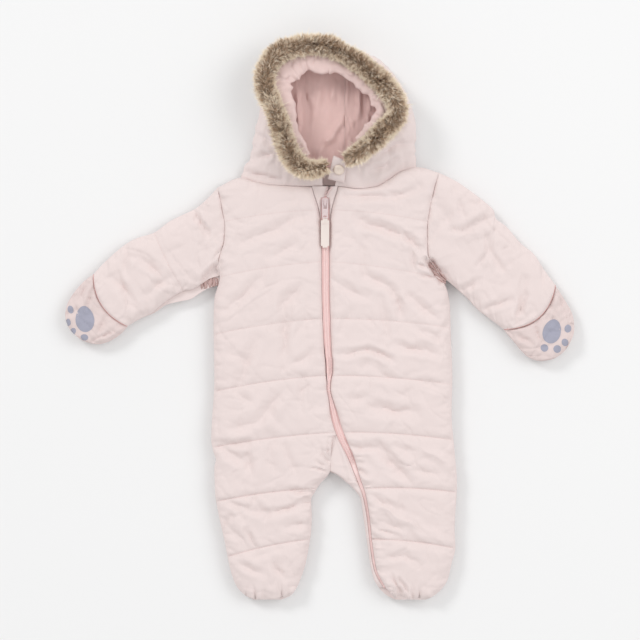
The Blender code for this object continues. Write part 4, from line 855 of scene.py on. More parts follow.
def strip_plan(places, left_x, right_x, across):
    """Plan of a strip between two edges, with a row at each place in y."""
    share = np.linspace(0, 1, across + 1)
    return np.array([[(left_x(y) + (right_x(y) - left_x(y)) * t, y) for t in share] for y in places])


def make_gusset(sizes, shell):
    """Three-cornered crotch gusset that runs on as a narrow strip inside the zipped leg. Gives
    the line of its stitches."""
    plan = strip_plan(np.linspace(ZIP_BOTTOM, GUSSET_TOP, GUSSET_ROWS), gusset_left,
                      lambda y: zip_edge(y, -1) - SEAM_GAP / 2, GUSSET_ACROSS)
    x, y = plan[:, :, 0], plan[:, :, 1]
    free = curve([(-155, ZIP_EDGE), (-198, ZIP_EDGE), (-212, FRONT_EDGE), (-352, FRONT_EDGE)], y[:, :1])
    edges = [(free, 6.0), (GUSSET_ZIP_EDGE, 5.0), (FRONT_EDGE, 8.0), (GUSSET_TOP_EDGE, 3.0)]
    left, right = edge_distances(plan)[:2]
    dips = 1.2 * np.exp(-((x - 30 + (y + 190) * 0.3) / 3) ** 2)
    dips = dips + rounding(nearest(left, right), 4) * (
        rumpled(x, y, 303, sizes, 20) + 1.5 * noise(y, x * 0.3, 6.5, 304) * (y < -215)
        + 1.8 * noise(x + 0.25 * y, y * 0.12, 7.0, 305) * (y >= -215))
    outer = padded_height(plan, GUSSET_HEIGHT, edges, dips)
    outer = with_height(plan, np.maximum(outer, FRONT_BASE + THIN_WALL))
    piece = cushion("crotch_gusset_cloth", outer, FRONT_BASE, shell)
    finish_piece(piece, ["crotch_gusset"])
    return outer[:, -3]


def make_backs(shell):
    """Both backs and both soles."""
    for name, side_lines, top, side, inner, sign in (
            ("right", LINES_AT_RIGHT_SIDE, RIGHT_TOP, RIGHT_SIDE, RIGHT_INNER_LEG, -1),
            ("left", LINES_AT_LEFT_SIDE, LEFT_TOP, LEFT_SIDE, LEFT_INNER_LEG, 1)):
        def middle(y, inner=inner, sign=sign):
            seam = CENTRE_BACK + sign * SEAM_GAP / 2
            leg = curve(inner, y)
            return seam if y > CROTCH else min(leg, seam) if sign < 0 else max(leg, seam)

        for part, foot in (("back", False), ("sole", True)):
            piece = back_piece(f"{part}_panel_{name}", list(zip(side_lines, LINES_AT_MIDDLE)), top,
                               lambda y, side=side: curve(side, y), middle, foot, shell)
            finish_piece(piece, [f"{part}_{name}"])


def make_sleeves(sizes, shell, binding):
    """Front, back and cuff binding of each sleeve. Gives the line of the right one's stitches."""
    last = len(SLEEVE_LEFT) - 1
    places = np.linspace(0, last, SLEEVE_ROWS)
    quilt = int(np.argmin(np.abs(places - SLEEVE_QUILT_ROW)))
    lines_of_thread, cuffs = [], {}
    for name, hand, front, back, side, seed, quilted in (
            ("right", -1, SLEEVE_FRONT_RIGHT, SLEEVE_BACK_RIGHT, RIGHT_SIDE, 404, 0.7),
            ("left", 1, SLEEVE_LEFT, SLEEVE_LEFT, LEFT_SIDE, 505, 0.25)):
        plan = limb_plan(front, SLEEVE_ACROSS, places, hand, side)
        ends = ((ARMHOLE_EDGE, 10.0), (CUFF_EDGE, 5.0))
        piece, outer = limb_front(f"sleeve_top_{name}", plan, SLEEVE_HEIGHT, ends, quilt, shell,
                                  seed, sizes, 1.5, quilted)
        finish_piece(piece, [f"sleeve_front_{name}"])
        cuffs[name] = outer[-1, 2:-2] - PIPING_DROP * UP
        if hand < 0:
            lines_of_thread.append(outer[quilt][3:-3])
        places_behind = np.linspace(0, last, SLEEVE_BACK_ROWS)
        plan = limb_plan(back, SLEEVE_BACK_ACROSS, places_behind, hand, side, 0.5)
        piece = limb_back(f"sleeve_under_{name}", plan, False, shell, seed + 5, sizes)
        finish_piece(piece, [f"sleeve_back_{name}"])
    for name, edge in cuffs.items():
        make_piping(name, edge, binding)
    return lines_of_thread


def make_underarms(cloth):
    """The cloth that bunches up where each sleeve meets the body under the arm."""
    share = np.linspace(0, 1, GATHER_ROWS)[:, None]
    run = np.linspace(0, 1, GATHER_ACROSS)[None]
    near = nearest(nearest(share, 1 - share) * 12, nearest(run, 1 - run) * 24)
    for name, upper, lower, height, along, across in UNDERARMS:
        top = evenly(np.array(upper, dtype=float), GATHER_ACROSS)
        foot = evenly(np.array(lower, dtype=float), GATHER_ACROSS)
        plan = top[None] * (1 - share[:, :, None]) + foot[None] * share[:, :, None]
        x, y = plan[:, :, 0], plan[:, :, 1]
        turn = along * run + across * share + 0.35 * noise(x, y, 5, 61)
        pleat = np.abs(np.sin(math.pi * turn)) ** 0.7
        face = height + GATHER_DEPTH * (pleat - 1) * rounding(near, 3) + 1.2 * noise(x, y, 6, 62)
        face = face - GATHER_ROLL * (1 - rounding(near, 4))
        under = np.minimum(face - 1.2, height - 5)
        piece = closed_wall(f"underarm_gather_{name}", with_height(plan, face),
                            with_height(plan, under), cloth)
        finish_piece(piece, [])


def make_piping(name, edge, cloth):
    """Narrow binding on the edge of a cuff."""
    ring = round_turn(PIPING_SIDES)
    line = evenly(edge, PIPING_ROWS)
    across = -level_across(np.gradient(line, axis=0))
    rings = (line[:, None] + across[:, None] * (PIPING_RADIUS * np.cos(ring))[None, :, None]
             + UP * (PIPING_RADIUS * np.sin(ring))[None, :, None])
    finish_piece(tube(f"cuff_binding_{name}", line, rings, cloth), [])


def make_mitts(sizes, cloth):
    """Front and back of each fold-over mitt."""
    last = len(MITT_LEFT) - 1
    for name, hand, table, seed in (("right", -1, MITT_RIGHT, 606), ("left", 1, MITT_LEFT, 707)):
        shift = np.array([-hand * 0.8, 0.6])
        plan = limb_plan(table, MITT_ACROSS, np.linspace(0, last, MITT_ROWS), hand) + shift
        ends = ((MITT_EDGE, 6.0), (FRONT_EDGE, 16.0))
        piece = limb_front(f"mitt_top_{name}", plan, MITT_HEIGHT, ends, None, cloth, seed, sizes, 1.4)[0]
        finish_piece(piece, [f"mitt_front_{name}"])
        plan = limb_plan(table, MITT_BACK_ACROSS, np.linspace(0, last, MITT_BACK_ROWS), hand) + shift
        piece = limb_back(f"mitt_under_{name}", plan, True, cloth, seed + 5, sizes)
        finish_piece(piece, [f"mitt_back_{name}"])


def hood_control(rows, seam_x, side, count):
    """Lines of one side of the hood, from its floor seam round to its rim."""
    control = []
    for row, (seam_y, seam_z, out_x, out_y, rim_x, rim_y, rim_z) in enumerate(rows):
        seam = np.array([seam_x, seam_y, seam_z])
        rim = np.array([rim_x, rim_y, rim_z])
        middle = MIDDLE + (seam_z * 0.5 if seam_z > 3 else 0)
        out = np.array([out_x, out_y, min(middle, rim_z - 6)])
        inward = (seam + rim) / 2 - out
        inward[2] = 0
        roll = min(HOOD_ROLL, np.linalg.norm(inward) * 0.6)
        inward = inward / np.linalg.norm(inward) * roll
        under = out + inward
        under[2] = seam_z * 0.7
        over = out + (rim - out) * [0.35, 0.35, 0.0]
        over[2] = out[2] + (rim_z - out[2]) * 0.72
        line = through([seam, seam + (under - seam) * 0.5, under, out, over, rim], count)
        line[:, 2] = np.maximum(line[:, 2], 0)
        if row == 0:
            line[:, 1] = curve(RIGHT_TOP if side < 0 else LEFT_TOP, line[:, 0]) + NECK_GAP
        control.append(line)
    return control


def inward_normals(grid, side, rounds):
    """Unit normals of a hood grid that point into the hood, smoothed along it."""
    normals = np.cross(np.gradient(grid, axis=1), np.gradient(grid, axis=0)) * side
    normals = normals / np.maximum(np.linalg.norm(normals, axis=2, keepdims=True), 1e-9)
    for _ in range(rounds):
        normals[:, 1:-1] = (normals[:, :-2] + 2 * normals[:, 1:-1] + normals[:, 2:]) / 4
        normals[1:-1] = (normals[:-2] + 2 * normals[1:-1] + normals[2:]) / 4
    return normals / np.linalg.norm(normals, axis=2, keepdims=True)


def hood_layers(name, grid, side, lined, shell, lining, seed, sizes, seam_columns):
    """The padded wall on a hood grid and the soft lining inside it."""
    normals = inward_normals(grid, side, 12)
    for column in seam_columns:
        normals[:, column, 0] = 0
    normals[0, :, 1] = 0
    normals = normals / np.maximum(np.linalg.norm(normals, axis=2, keepdims=True), 1e-9)
    low, high = edge_distances(grid)[2:]
    along = np.cumsum(np.linalg.norm(np.diff(grid, axis=1, prepend=grid[:, :1]), axis=2), axis=1)
    from_front = nearest(along[:, -1:] - along, low, high)
    near = nearest(along, from_front)
    upper = np.clip((grid[:, :, 2] - 2) / 8, 0, 1)
    x, y = grid[:, :, 0], grid[:, :, 1]
    dips = rumpled(along + 3 * x, y, seed, sizes, 60, 1.1) + 0.8 * noise(x, y, 30, seed + 8)
    dips = (dips + creased(x, y, sizes)) * upper * rounding(np.maximum(near, 0), 10)
    outer = grid + normals * dips[:, :, None]
    outer[:, :, 2] = np.maximum(outer[:, :, 2], 0)
    inside = grid + normals * HOOD_WALL
    finish_piece(closed_wall(f"hood_{name}_shell", outer, inside, shell), [f"hood_{name}"])
    soft = rumpled(along + 3 * x, y, seed + 20, sizes, 60, 1.3) + 0.8 * noise(x, y, 24, seed + 21)
    soft = soft * rounding(np.maximum(near, 0), 5)
    folded = near if name == "left" else from_front
    soft = soft + creased(x, y, sizes, LINING_FOLDS) * rounding(np.maximum(folded, 0), 5)
    soft = np.clip(soft, *LINING_REACH)[:, :, None]
    rows = slice(*lined)
    face = (grid + normals * (HOOD_WALL + LINING_GAP + LINING_WALL - soft))[rows]
    backing = (grid + normals * (HOOD_WALL + LINING_GAP))[rows]
    cloth = closed_wall(f"lining_{name}", backing, face, lining)
    finish_piece(cloth, [f"hood_lining_{name}"])


def make_hood(sizes, shell, lining):
    """Two sides and a centre strip, each padded and lined."""
    sides = (("right", -1, HOOD_RIGHT_ROWS, HOOD_SEAM_RIGHT, 808),
             ("left", 1, HOOD_LEFT_ROWS, HOOD_SEAM_LEFT, 909))
    for name, side, rows, seam_x, seed in sides:
        places = np.linspace(0, len(rows) - 1, HOOD_ROWS)
        control = hood_control(rows, seam_x + side * HOOD_SEAM_GAP[side], side, HOOD_COLUMNS)
        grid = smooth_rows(control, places)
        grid[:, :, 2] = np.maximum(grid[:, :, 2], 0)
        lined = np.searchsorted(places, (LINED_FROM, len(rows) - LINED_SHORT))
        hood_layers(name, grid, side, lined, shell, lining, seed, sizes, (0,))
    seams = []
    for _, side, table, seam_x, _ in sides:
        seam = through([row[:2] for row in table], HOOD_CENTRE_ROWS)
        seam_x = np.full(len(seam), seam_x - side * HOOD_SEAM_GAP[side])
        seams.append(np.stack([seam_x, seam[:, 0], np.maximum(seam[:, 1], 0)], axis=1))
    share = np.linspace(0, 1, HOOD_CENTRE_COLUMNS)[None, :, None]
    grid = seams[0][:, None] + (seams[1] - seams[0])[:, None] * share
    hood_layers("centre", grid, 1, (5, HOOD_CENTRE_ROWS - 5), shell, lining, 111, sizes,
                (0, HOOD_CENTRE_COLUMNS - 1))


def tube_points(route, rows, sides, half_width, half_height, swell):
    """Rings along a route with a flat-lying oval section, its size varied by swell. A route
    with a fourth column gives its own half widths."""
    line = through(route, rows)
    if line.shape[1] > 3:
        half_width = line[:, 3:]
        line = line[:, :3]
    across = level_across(np.gradient(line, axis=0))
    angle = round_turn(sides)
    size = swell(np.linspace(0, 1, rows)[:, None], angle[None, :])
    rings = (line[:, None] + across[:, None] * (half_width * np.cos(angle) * size)[:, :, None]
             + UP * (half_height * np.sin(angle) * size)[:, :, None])
    return line, rings


def tube(name, line, rings, finish):
    """A closed tube of rings along a line, pointed at both ends."""
    rows, sides = rings.shape[:2]
    at = np.arange(rows * sides).reshape(rows, sides)
    turn = np.roll(at, -1, axis=1)
    quads = np.stack([at[:-1], turn[:-1], turn[1:], at[1:]], axis=2).reshape(-1, 4).tolist()
    hubs = rows * sides
    caps = [[hubs, at[0, k], turn[0, k]] for k in range(sides)]
    caps += [[hubs + 1, turn[-1, k], at[-1, k]] for k in range(sides)]
    points = np.concatenate([rings.reshape(-1, 3), line[:1], line[-1:]])
    return made(name, points, quads + caps, finish)


def make_facing(sizes, cloth):
    """The light facing gathered round the inside of the hood's opening."""
    def ruffle(place, angle):
        up, out = np.sin(angle), np.cos(angle)
        wander = 2.6 * noise(place * 14, place * 0, 1.0, 41)
        tight = curve([(0, 0.5), (0.2, 0.2), (0.4, 0.25), (0.5, 0.7), (0.75, 1), (1, 0.6)], place)
        wave = np.sin(2 * math.pi * sizes.ruffles * place + wander + 1.2 * out)
        inner = 0.5 + 0.5 * np.cos(angle - math.pi)
        broad = noise(place * 15, out * 1.2, 1.0, 43)
        fine = noise(place * 46, out * 1.5, 1.0, 42)
        folds = np.exp(-(noise(place * 34, out * 0.9, 1.0, 44) / 0.36) ** 2) * up.clip(0, 1)
        return tapered(place, 0.6, 6) * (1 + tight * inner * (0.14 * wave + 0.2 * fine)
                                         + 0.24 * broad + 0.13 * fine - 0.3 * folds)

    line, rings = tube_points(FACING_ROUTE, FACING_ROWS, FACING_SIDES, None, FACING_HALF_HEIGHT, ruffle)
    roll = tube("hood_facing_roll", line, rings, cloth)
    finish_piece(roll, ["hood_facing"])


def fur_swell(place, angle):
    """Uneven size of the fur's core along its route and round its section."""
    return tapered(place, 0.72, 4) * (1 + 0.10 * noise(place * 60, angle, 1.0, 51)
                                      + 0.06 * noise(place * 170, angle * 2, 1.0, 52))


def comb_locks(part, rng, route, sizes):
    """Pointed locks of one length of the trim: place, angle, foot, tip and tone of each."""
    line, ahead, across, half_width, half_height = route
    count = sizes.fur_locks // FUR_LENGTHS
    place = (part + rng.uniform(0, 1, count)) / FUR_LENGTHS
    angle = rng.uniform(-0.35 * math.pi, 1.35 * math.pi, count)
    row = np.minimum((place * (len(line) - 1)).astype(int), len(line) - 2)
    side, along = across[row], ahead[row]
    lean = np.cos(angle) + 0.15 * np.tanh(4 * np.cos(angle)) + rng.normal(0, 0.38, count)
    outward = side * lean[:, None] + UP * (0.75 * np.sin(angle) + 0.05)[:, None]
    sweep = 0.5 + 0.8 * noise(place * 20, angle * 0.7, 1.0, 80) + rng.normal(0, 0.35, count)
    at_ends = np.clip((place - 0.985) / 0.015, 0, 1) - np.clip((0.015 - place) / 0.015, 0, 1)
    sweep += 1.6 * at_ends
    aim = unit(outward + along * sweep[:, None])
    reach = sizes.fur_length / MM * rng.uniform(0.7, 1.0, count)
    reach *= tapered(place, 0.6, 8) * (1 + 0.3 * np.cos(angle).clip(-1, 0))
    reach *= 1 + 0.14 * noise(place * 60, angle, 1.0, 82)
    border = np.abs(np.cos(angle))
    chance = 0.17 + 0.8 * border ** 2.2 + 0.34 * noise(place * 24, angle, 1.0, 81)
    pale = rng.uniform(0, 1, count) < chance
    tone = np.where(pale, FUR_PALE, FUR_DARK) + rng.normal(0, 0.1, count)
    foot = (line[row] + side * (half_width * np.cos(angle))[:, None]
            + UP * (half_height * np.sin(angle))[:, None])
    return place, angle, foot, foot + aim * reach[:, None], tone


def comb_strands(rng, route, locks, count):
    """Strands of one length of the trim, each in a lock: five points and a tone for each."""
    line, _, across, half_width, half_height = route
    place, angle, lock_foot, lock_tip, lock_tone = locks
    mine = rng.integers(0, len(place), count)
    spread = rng.normal(0, 1, (count, 2))
    here = np.clip(place[mine] + spread[:, 0] * 0.0026, 0, 0.9999)
    turn = angle[mine] + spread[:, 1] * 0.14
    at = here * (len(line) - 1)
    row = np.minimum(at.astype(int), len(line) - 2)
    t = (at - row)[:, None]
    size = fur_swell(here, turn)[:, None]
    foot = (line[row] * (1 - t) + line[row + 1] * t
            + across[row] * (half_width * np.cos(turn))[:, None] * size
            + UP * (half_height * np.sin(turn) - 0.4)[:, None] * size)
    tip = lock_tip[mine] + rng.normal(0, 0.9, (count, 3)) + (foot - lock_foot[mine]) * 0.25
    stray = rng.uniform(0, 1, count) < STRAY_SHARE
    tip += rng.normal(0, 3.4, (count, 3)) * stray[:, None] * [1, 1, 0.5]
    short = rng.uniform(0.6, 1.0, count)[:, None]
    tip = foot + (tip - foot) * short
    bend = foot * 0.5 + tip * 0.5 + (UP * 0.9 + rng.normal(0, 0.35, (count, 3))) * short
    tip = tip + UP * np.maximum(0, 0.5 - tip[:, 2:3])
    wide = unit(np.cross(tip - foot, rng.normal(0, 1, (count, 3))))
    wide = wide * (rng.uniform(0.17, 0.30, count) * (1 + 0.6 * stray))[:, None]
    points = np.stack([foot - wide, foot + wide, bend - wide * 0.85, bend + wide * 0.85, tip], axis=1)
    tone = np.clip(lock_tone[mine] + rng.normal(0, 0.12, count) + stray, 0, 1)
    return points, tone


def make_fur(sizes, pile, root):
    """Dense core of the trim and its strands, gathered in pointed locks, in joined lengths."""
    half_width, half_height = FUR_HALF_WIDTH * FUR_CORE, FUR_HALF_HEIGHT * FUR_CORE
    line, rings = tube_points(FUR_ROUTE, FUR_ROWS, FUR_SIDES, half_width, half_height, fur_swell)
    finish_piece(tube("fur_core", line, rings, root), ["fur_trim"])
    rng = np.random.default_rng(77)
    ahead = unit(np.gradient(line, axis=0))
    route = (line, ahead, level_across(ahead), half_width, half_height)
    count = sizes.fur_strands // FUR_LENGTHS
    base = np.arange(count)[:, None] * 5
    faces = (base + [0, 1, 3, 2]).tolist() + (base + [2, 3, 4]).tolist()
    for part in range(FUR_LENGTHS):
        points, tone = comb_strands(rng, route, comb_locks(part, rng, route, sizes), count)
        data = flat_mesh(f"fur_strands_{part + 1}", points.reshape(-1, 3), faces)
        root_tone, middle_tone = tone * 0.1, 0.1 + 0.8 * tone
        shade = np.stack([root_tone, root_tone, middle_tone, middle_tone, 0.2 + 1.0 * tone], axis=1)
        values = shade.reshape(-1).astype(np.float32)
        data.attributes.new("tone", "FLOAT", "POINT").data.foreach_set("value", values)
        data.shade_smooth()
        finish_piece(placed(data, pile), [])


def zip_strip(name, places, left_x, right_x, low, high, finish, crown=0.0, across=8):
    """A strip along the zip, crowned in the middle of its width. Its faces lie low and high
    above the zip's bed; with no low it reaches down to the backs."""
    plan = strip_plan(places, left_x, right_x, across)
    bed = curve(ZIP_BED, plan[:, :, 1])
    share = np.linspace(0, 1, across + 1)
    top = bed + high + crown * (4 * share * (1 - share) - 1)
    under = MIDDLE + SEAM_GAP if low is None else bed + low
    return closed_wall(name, with_height(plan, top), with_height(plan, under), finish)


def beads(name, centres, along, across, size, finish, sides=6):
    """Many small rounded beads in one mesh: centres, long axis and side axis of each, and the
    length, width and height that they share."""
    up = np.cross(along, across)
    length, width, height = size
    rings = ((-1.0, 0.0), (-0.72, 0.72), (0.0, 1.0), (0.72, 0.72), (1.0, 0.0))
    points, faces = [], []
    for at, swell in rings:
        for k in range(1 if swell == 0 else sides):
            turn = 2 * math.pi * k / sides
            points.append(centres + along * at * length / 2
                          + across * swell * math.cos(turn) * width / 2
                          + up * swell * math.sin(turn) * height / 2)
    points = np.stack(points, axis=1)
    per = points.shape[1]
    base = np.arange(len(centres))[:, None] * per
    for k in range(sides):
        n = (k + 1) % sides
        faces.append(base + [0, 1 + n, 1 + k])
        faces.append(base + [per - 1, 1 + 2 * sides + k, 1 + 2 * sides + n])
        for ring in (1, 1 + sides):
            faces.append(base + [ring + k, ring + n, ring + sides + n])
            faces.append(base + [ring + k, ring + sides + n, ring + sides + k])
    return made(name, points.reshape(-1, 3), np.concatenate(faces).tolist(), finish, 180.0)


def coil_half(y):
    """Half width of the coil's bed, which leaves a little of the tapes to be seen."""
    return min(COIL_HALF, curve(ZIP_HALF, y) - 0.5)


def make_zip(sizes, pink, coil, cloth):
    """Both tapes over their guard strip, the folds beside the slider, and the coil."""
    tape = zip_strip(
        "zip_tapes", np.linspace(ZIP_BOTTOM, TAPES_MEET, ZIP_ROWS),
        lambda y: max(zip_edge(y, -1) + TAPE_CLEAR, zip_middle(y) - TAPE_HALF) + curve(ZIP_PULLED, y),
        lambda y: min(zip_edge(y, 1) - TAPE_CLEAR, zip_middle(y) + TAPE_HALF),
        None, TAPE_LIFT, pink, across=12)
    finish_piece(tape, ["zip_tape"])
    for name, side in (("right", -1), ("left", 1)):
        def outer(y, side=side):
            return zip_edge(y, side) - side * TAPE_CLEAR

        def inner(y, side=side):
            return zip_middle(y) + curve(SLIT_LEAN, y) + side * curve(SLIT_HALF, y)

        edges = (outer, inner) if side < 0 else (inner, outer)
        fold = zip_strip(f"collar_fold_{name}", np.linspace(FOLD_BOTTOM, FOLD_TOP, FOLD_ROWS), *edges,
                         None, FOLD_LIFT, cloth, FOLD_CROWN)
        finish_piece(fold, ["zip_tape"])
    top = SLIDER_MIDDLE - SLIDER_HALF - SEAM_GAP
    places = np.linspace(ZIP_BOTTOM + 1, top, ZIP_ROWS)
    lift = curve([(170, 2.5), (-160, 2.5), (-215, 1.0), (-353, 1.0)], places)[:, None]
    bed = zip_strip("zip_coil_bed", places, lambda y: zip_middle(y) - coil_half(y),
                    lambda y: zip_middle(y) + coil_half(y), COIL_BASE, lift, coil, COIL_CROWN)
    finish_piece(bed, ["zip_chain"])
    make_teeth(sizes, top, coil)


def make_teeth(sizes, top, coil):
    """The teeth along the coil up to its top, and those of its bare stretches."""
    pitch = sizes.tooth_pitch / MM
    y = np.arange(TEETH_BOTTOM, top - 1, pitch / 2)
    side = np.where(np.arange(len(y)) % 2 == 0, -1.0, 1.0)[:, None]
    slope = (zip_middle(y + 1) - zip_middle(y - 1)) / 2
    ahead = unit(np.stack([slope, np.ones(len(y)), 0 * y], axis=1))
    across = -level_across(ahead)
    lean = unit(across + ahead * TOOTH_LEAN * side)
    flat = np.cross(UP, lean)
    centres = np.stack([zip_middle(y), y, curve(ZIP_BED, y) + TOOTH_LIFT], axis=1)
    centres = centres + across * (side * TOOTH_SPREAD)
    for route in OPEN_COIL:
        free = through(route, int(np.linalg.norm(np.subtract(route[-1], route[0])) / pitch) + 2)
        centres = np.concatenate([centres, free])
        lean = np.concatenate([lean, np.tile([1.0, 0, 0], (len(free), 1))])
        flat = np.concatenate([flat, np.tile([0, 1.0, 0], (len(free), 1))])
    teeth = beads("zip_teeth", centres, lean, flat, TOOTH, coil)
    finish_piece(teeth, [])


def make_stitches(lines, sizes, thread):
    """Thread of the quilting, as small raised stitches."""
    centres, along = [], []
    pitch = sizes.stitch_pitch / MM
    for line in lines:
        run = np.linalg.norm(np.diff(line, axis=0), axis=1).sum()
        points = evenly(line, int(run / pitch) * 2 + 1)
        centres.append(points[1::2] + STITCH_LIFT * UP)
        along.append(unit(points[2::2] - points[:-2:2]))
    centres, along = np.concatenate(centres), np.concatenate(along)
    across = unit(np.cross(UP, along))
    size = (pitch * STITCH[0], *STITCH[1:])
    piece = beads("quilting_stitches", centres, along, across, size, thread, sides=5)
    finish_piece(piece, [])


def tab_height(y):
    """Height of the chin tab's under side."""
    return TAB_BASE[1] + TAB_SLOPE * (y - TAB_BASE[0])


def surface_of(item):
    """What print and thread are laid on."""
    return BVHTree.FromObject(item, bpy.context.evaluated_depsgraph_get())


def dropped(surface, x, y):
    """Point and normal where a surface is met from above, or nothing."""
    return surface.ray_cast(Vector((x * MM, y * MM, 0.1)), Vector((0, 0, -1)))[:2]


def make_chin_tab(shell, cap):
    """The tab over the collar's ends and its snap. Gives the line of its edge stitching."""
    share = crowded(TAB_ACROSS)[:, None]
    control = [np.array([lx, ly]) + (np.array([rx, ry]) - [lx, ly]) * share for lx, ly, rx, ry in TAB_ROWS]
    plan = smooth_rows(control, np.linspace(0, len(TAB_ROWS) - 1, TAB_GRID_ROWS))
    away = nearest(*edge_distances(plan))
    from_snap = np.hypot(plan[:, :, 0] - SNAP_AT[0], plan[:, :, 1] - SNAP_AT[1])
    full = TAB_THICK * (0.6 + 0.4 * rounding(away, 3.0)) + 0.5 * np.exp(-((away - 6) / 3) ** 2)
    full = full - 0.35 * np.exp(-((away - 2.2) / 0.6) ** 2) - 0.8 * np.exp(-(from_snap / 7) ** 4)
    full = full + 0.2 * noise(plan[:, :, 0], plan[:, :, 1], 6, 91)
    under = tab_height(plan[:, :, 1])
    tab = closed_wall("chin_tab_cloth", with_height(plan, under + full), with_height(plan, under), shell)
    finish_piece(tab, ["chin_tab"])
    make_snap(cap)
    ring = np.concatenate([plan[3:-3, 2], plan[-3, 2:-2], plan[-4:2:-1, -3], plan[2, -3:2:-1]])
    surface = surface_of(tab)
    hits = [dropped(surface, x, y)[0] for x, y in ring]
    return [np.array([np.array(hit) / MM for hit in hits if hit])]


def make_snap(cap):
    """The snap's turned cap on the slope of the chin tab."""
    sides = SNAP_SIDES
    angle = round_turn(sides)
    tilt = math.atan(TAB_SLOPE)
    up = np.array([0, -math.sin(tilt), math.cos(tilt)])
    along = np.array([0, math.cos(tilt), math.sin(tilt)])
    lift = (TAB_THICK + 0.1) / math.cos(tilt)
    seat = np.array([SNAP_AT[0], SNAP_AT[1], tab_height(SNAP_AT[1]) + lift])
    rings = np.array([[seat + np.array([1, 0, 0]) * r * math.cos(a) + along * r * math.sin(a) + up * h
                       for a in angle] for r, h in SNAP_PROFILE])
    at = np.arange(len(rings) * sides).reshape(len(rings), sides)
    turn = np.roll(at, -1, axis=1)
    faces = np.stack([at[:-1], at[1:], turn[1:], turn[:-1]], axis=2).reshape(-1, 4).tolist()
    faces += [at[0].tolist(), at[-1][::-1].tolist()]
    snap = made("snap_button", rings.reshape(-1, 3), faces, cap, 60.0)
    finish_piece(snap, ["snap_cap"])


def print_patch(outline, surface, lift):
    """Points and faces of a thin print inside an outline, laid on a cloth surface."""
    centre = outline.mean(axis=0)
    rings = np.linspace(0, 1, 9)[1:]
    count = len(outline)
    flat = [centre] + [centre + (point - centre) * r for r in rings for point in outline]
    points = []
    for x, y in flat:
        hit, normal = dropped(surface, x, y)
        if hit is None or normal.z < 0.2:
            hit, normal = surface.find_nearest(Vector((x * MM, y * MM, 0.018)))[:2]
        points.append(np.array(hit) / MM + np.array(normal) * lift)
    faces = [[0, 1 + k, 1 + (k + 1) % count] for k in range(count)]
    for r in range(len(rings) - 1):
        low, high = 1 + r * count, 1 + (r + 1) * count
        for k in range(count):
            n = (k + 1) % count
            faces.append([low + k, high + k, high + n, low + n])
    return points, faces


def make_prints(ink):
    """A printed pad and toes on the back of each mitt."""
    angle = round_turn(PRINT_SIDES)
    for name, pads in PRINTS.items():
        surface = surface_of(bpy.data.objects[f"mitt_top_{name}"])
        points, faces = [], []
        for x, y, wide, tall, taper, turn in pads:
            across = wide * np.sin(angle) * (1 - taper * (0.5 + 0.5 * np.cos(angle)) ** 1.6)
            along = tall * np.cos(angle)
            spin = math.radians(turn)
            outline = np.stack([x + across * math.cos(spin) - along * math.sin(spin),
                                y + across * math.sin(spin) + along * math.cos(spin)], axis=1)
            patch, quads = print_patch(outline, surface, PRINT_LIFT)
            faces += [[i + len(points) for i in face] for face in quads]
            points += patch
        data = flat_mesh(f"paw_print_{name}", points, faces)
        data.shade_smooth()
        finish_piece(placed(data, ink), [])


def make_pull(metal, cloth, thread):
    """The slider and its link in metal, and the moulded tag that hangs from the link."""
    for node in ("zip_slider", "pull_link"):
        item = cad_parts[node]
        item.data.materials.clear()
        item.data.materials.append(metal)
    low, high = (np.array(corner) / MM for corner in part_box("pull_tag"))
    centre, half = (low + high) / 2, (high - low) / 2
    shape = bmesh.new()
    bmesh.ops.create_cube(shape, size=1.0)
    for point in shape.verts:
        point.co = Vector((centre + 2 * half * np.array(point.co)) * MM)
    upright = [e for e in shape.edges if abs((e.verts[0].co - e.verts[1].co).z) > half[2] * MM]
    bmesh.ops.bevel(shape, geom=upright, offset=TAG_CORNER * MM, segments=6, affect="EDGES")
    faces = [f for f in shape.faces if abs(f.normal.z) > 0.9]
    bmesh.ops.inset_region(shape, faces=faces, thickness=TAG_RIM * MM, depth=0)
    inner = [f for f in shape.faces if abs(f.normal.z) > 0.9 and len(f.verts) > 8]
    for face in inner:
        for vert in face.verts:
            vert.co.z -= math.copysign(TAG_SUNK * MM, face.normal.z)
    bmesh.ops.bevel(shape, geom=list(shape.edges), offset=0.12 * MM, segments=2, affect="EDGES")
    data = bpy.data.meshes.new("pull_tag_cloth")
    shape.to_mesh(data)
    shape.free()
    data.shade_smooth()
    data.set_sharp_from_angle(angle=math.radians(50))
    finish_piece(placed(data, cloth), ["pull_tag"], "pull")
    x = np.arange(-3.4, 3.5, 1.7)
    centres = np.stack([centre[0] + x, 0 * x + high[1] - 7.0, 0 * x + high[2] + 0.05], axis=1)
    along = np.tile([1.0, 0, 0], (len(x), 1))
    across = np.tile([0, 1.0, 0], (len(x), 1))
    seam = beads("pull_tag_stitches", centres, along, across, (1.3, 0.5, 0.4), thread)
    finish_piece(seam, [], "pull")


def shader_material(name, roughness, metallic=0.0, sheen=0.0):
    """A new finish with its node tree and its shader."""
    finish = bpy.data.materials.new(name)
    finish.use_nodes = True
    tree = finish.node_tree
    shader = tree.nodes["Principled BSDF"]
    shader.inputs["Roughness"].default_value = roughness
    shader.inputs["Metallic"].default_value = metallic
    shader.inputs["Sheen Weight"].default_value = sheen
    shader.inputs["Sheen Roughness"].default_value = 0.45
    return finish, tree, shader


def own_place(tree):
    """The place of each point on its own piece."""
    return tree.nodes.new("ShaderNodeTexCoord").outputs["Object"]


def fill_sockets(tree, *pairs):
    """Links each socket to the output paired with it, or sets it to the value."""
    for socket, value in pairs:
        if isinstance(value, bpy.types.NodeSocket):
            tree.links.new(value, socket)
        else:
            socket.default_value = value


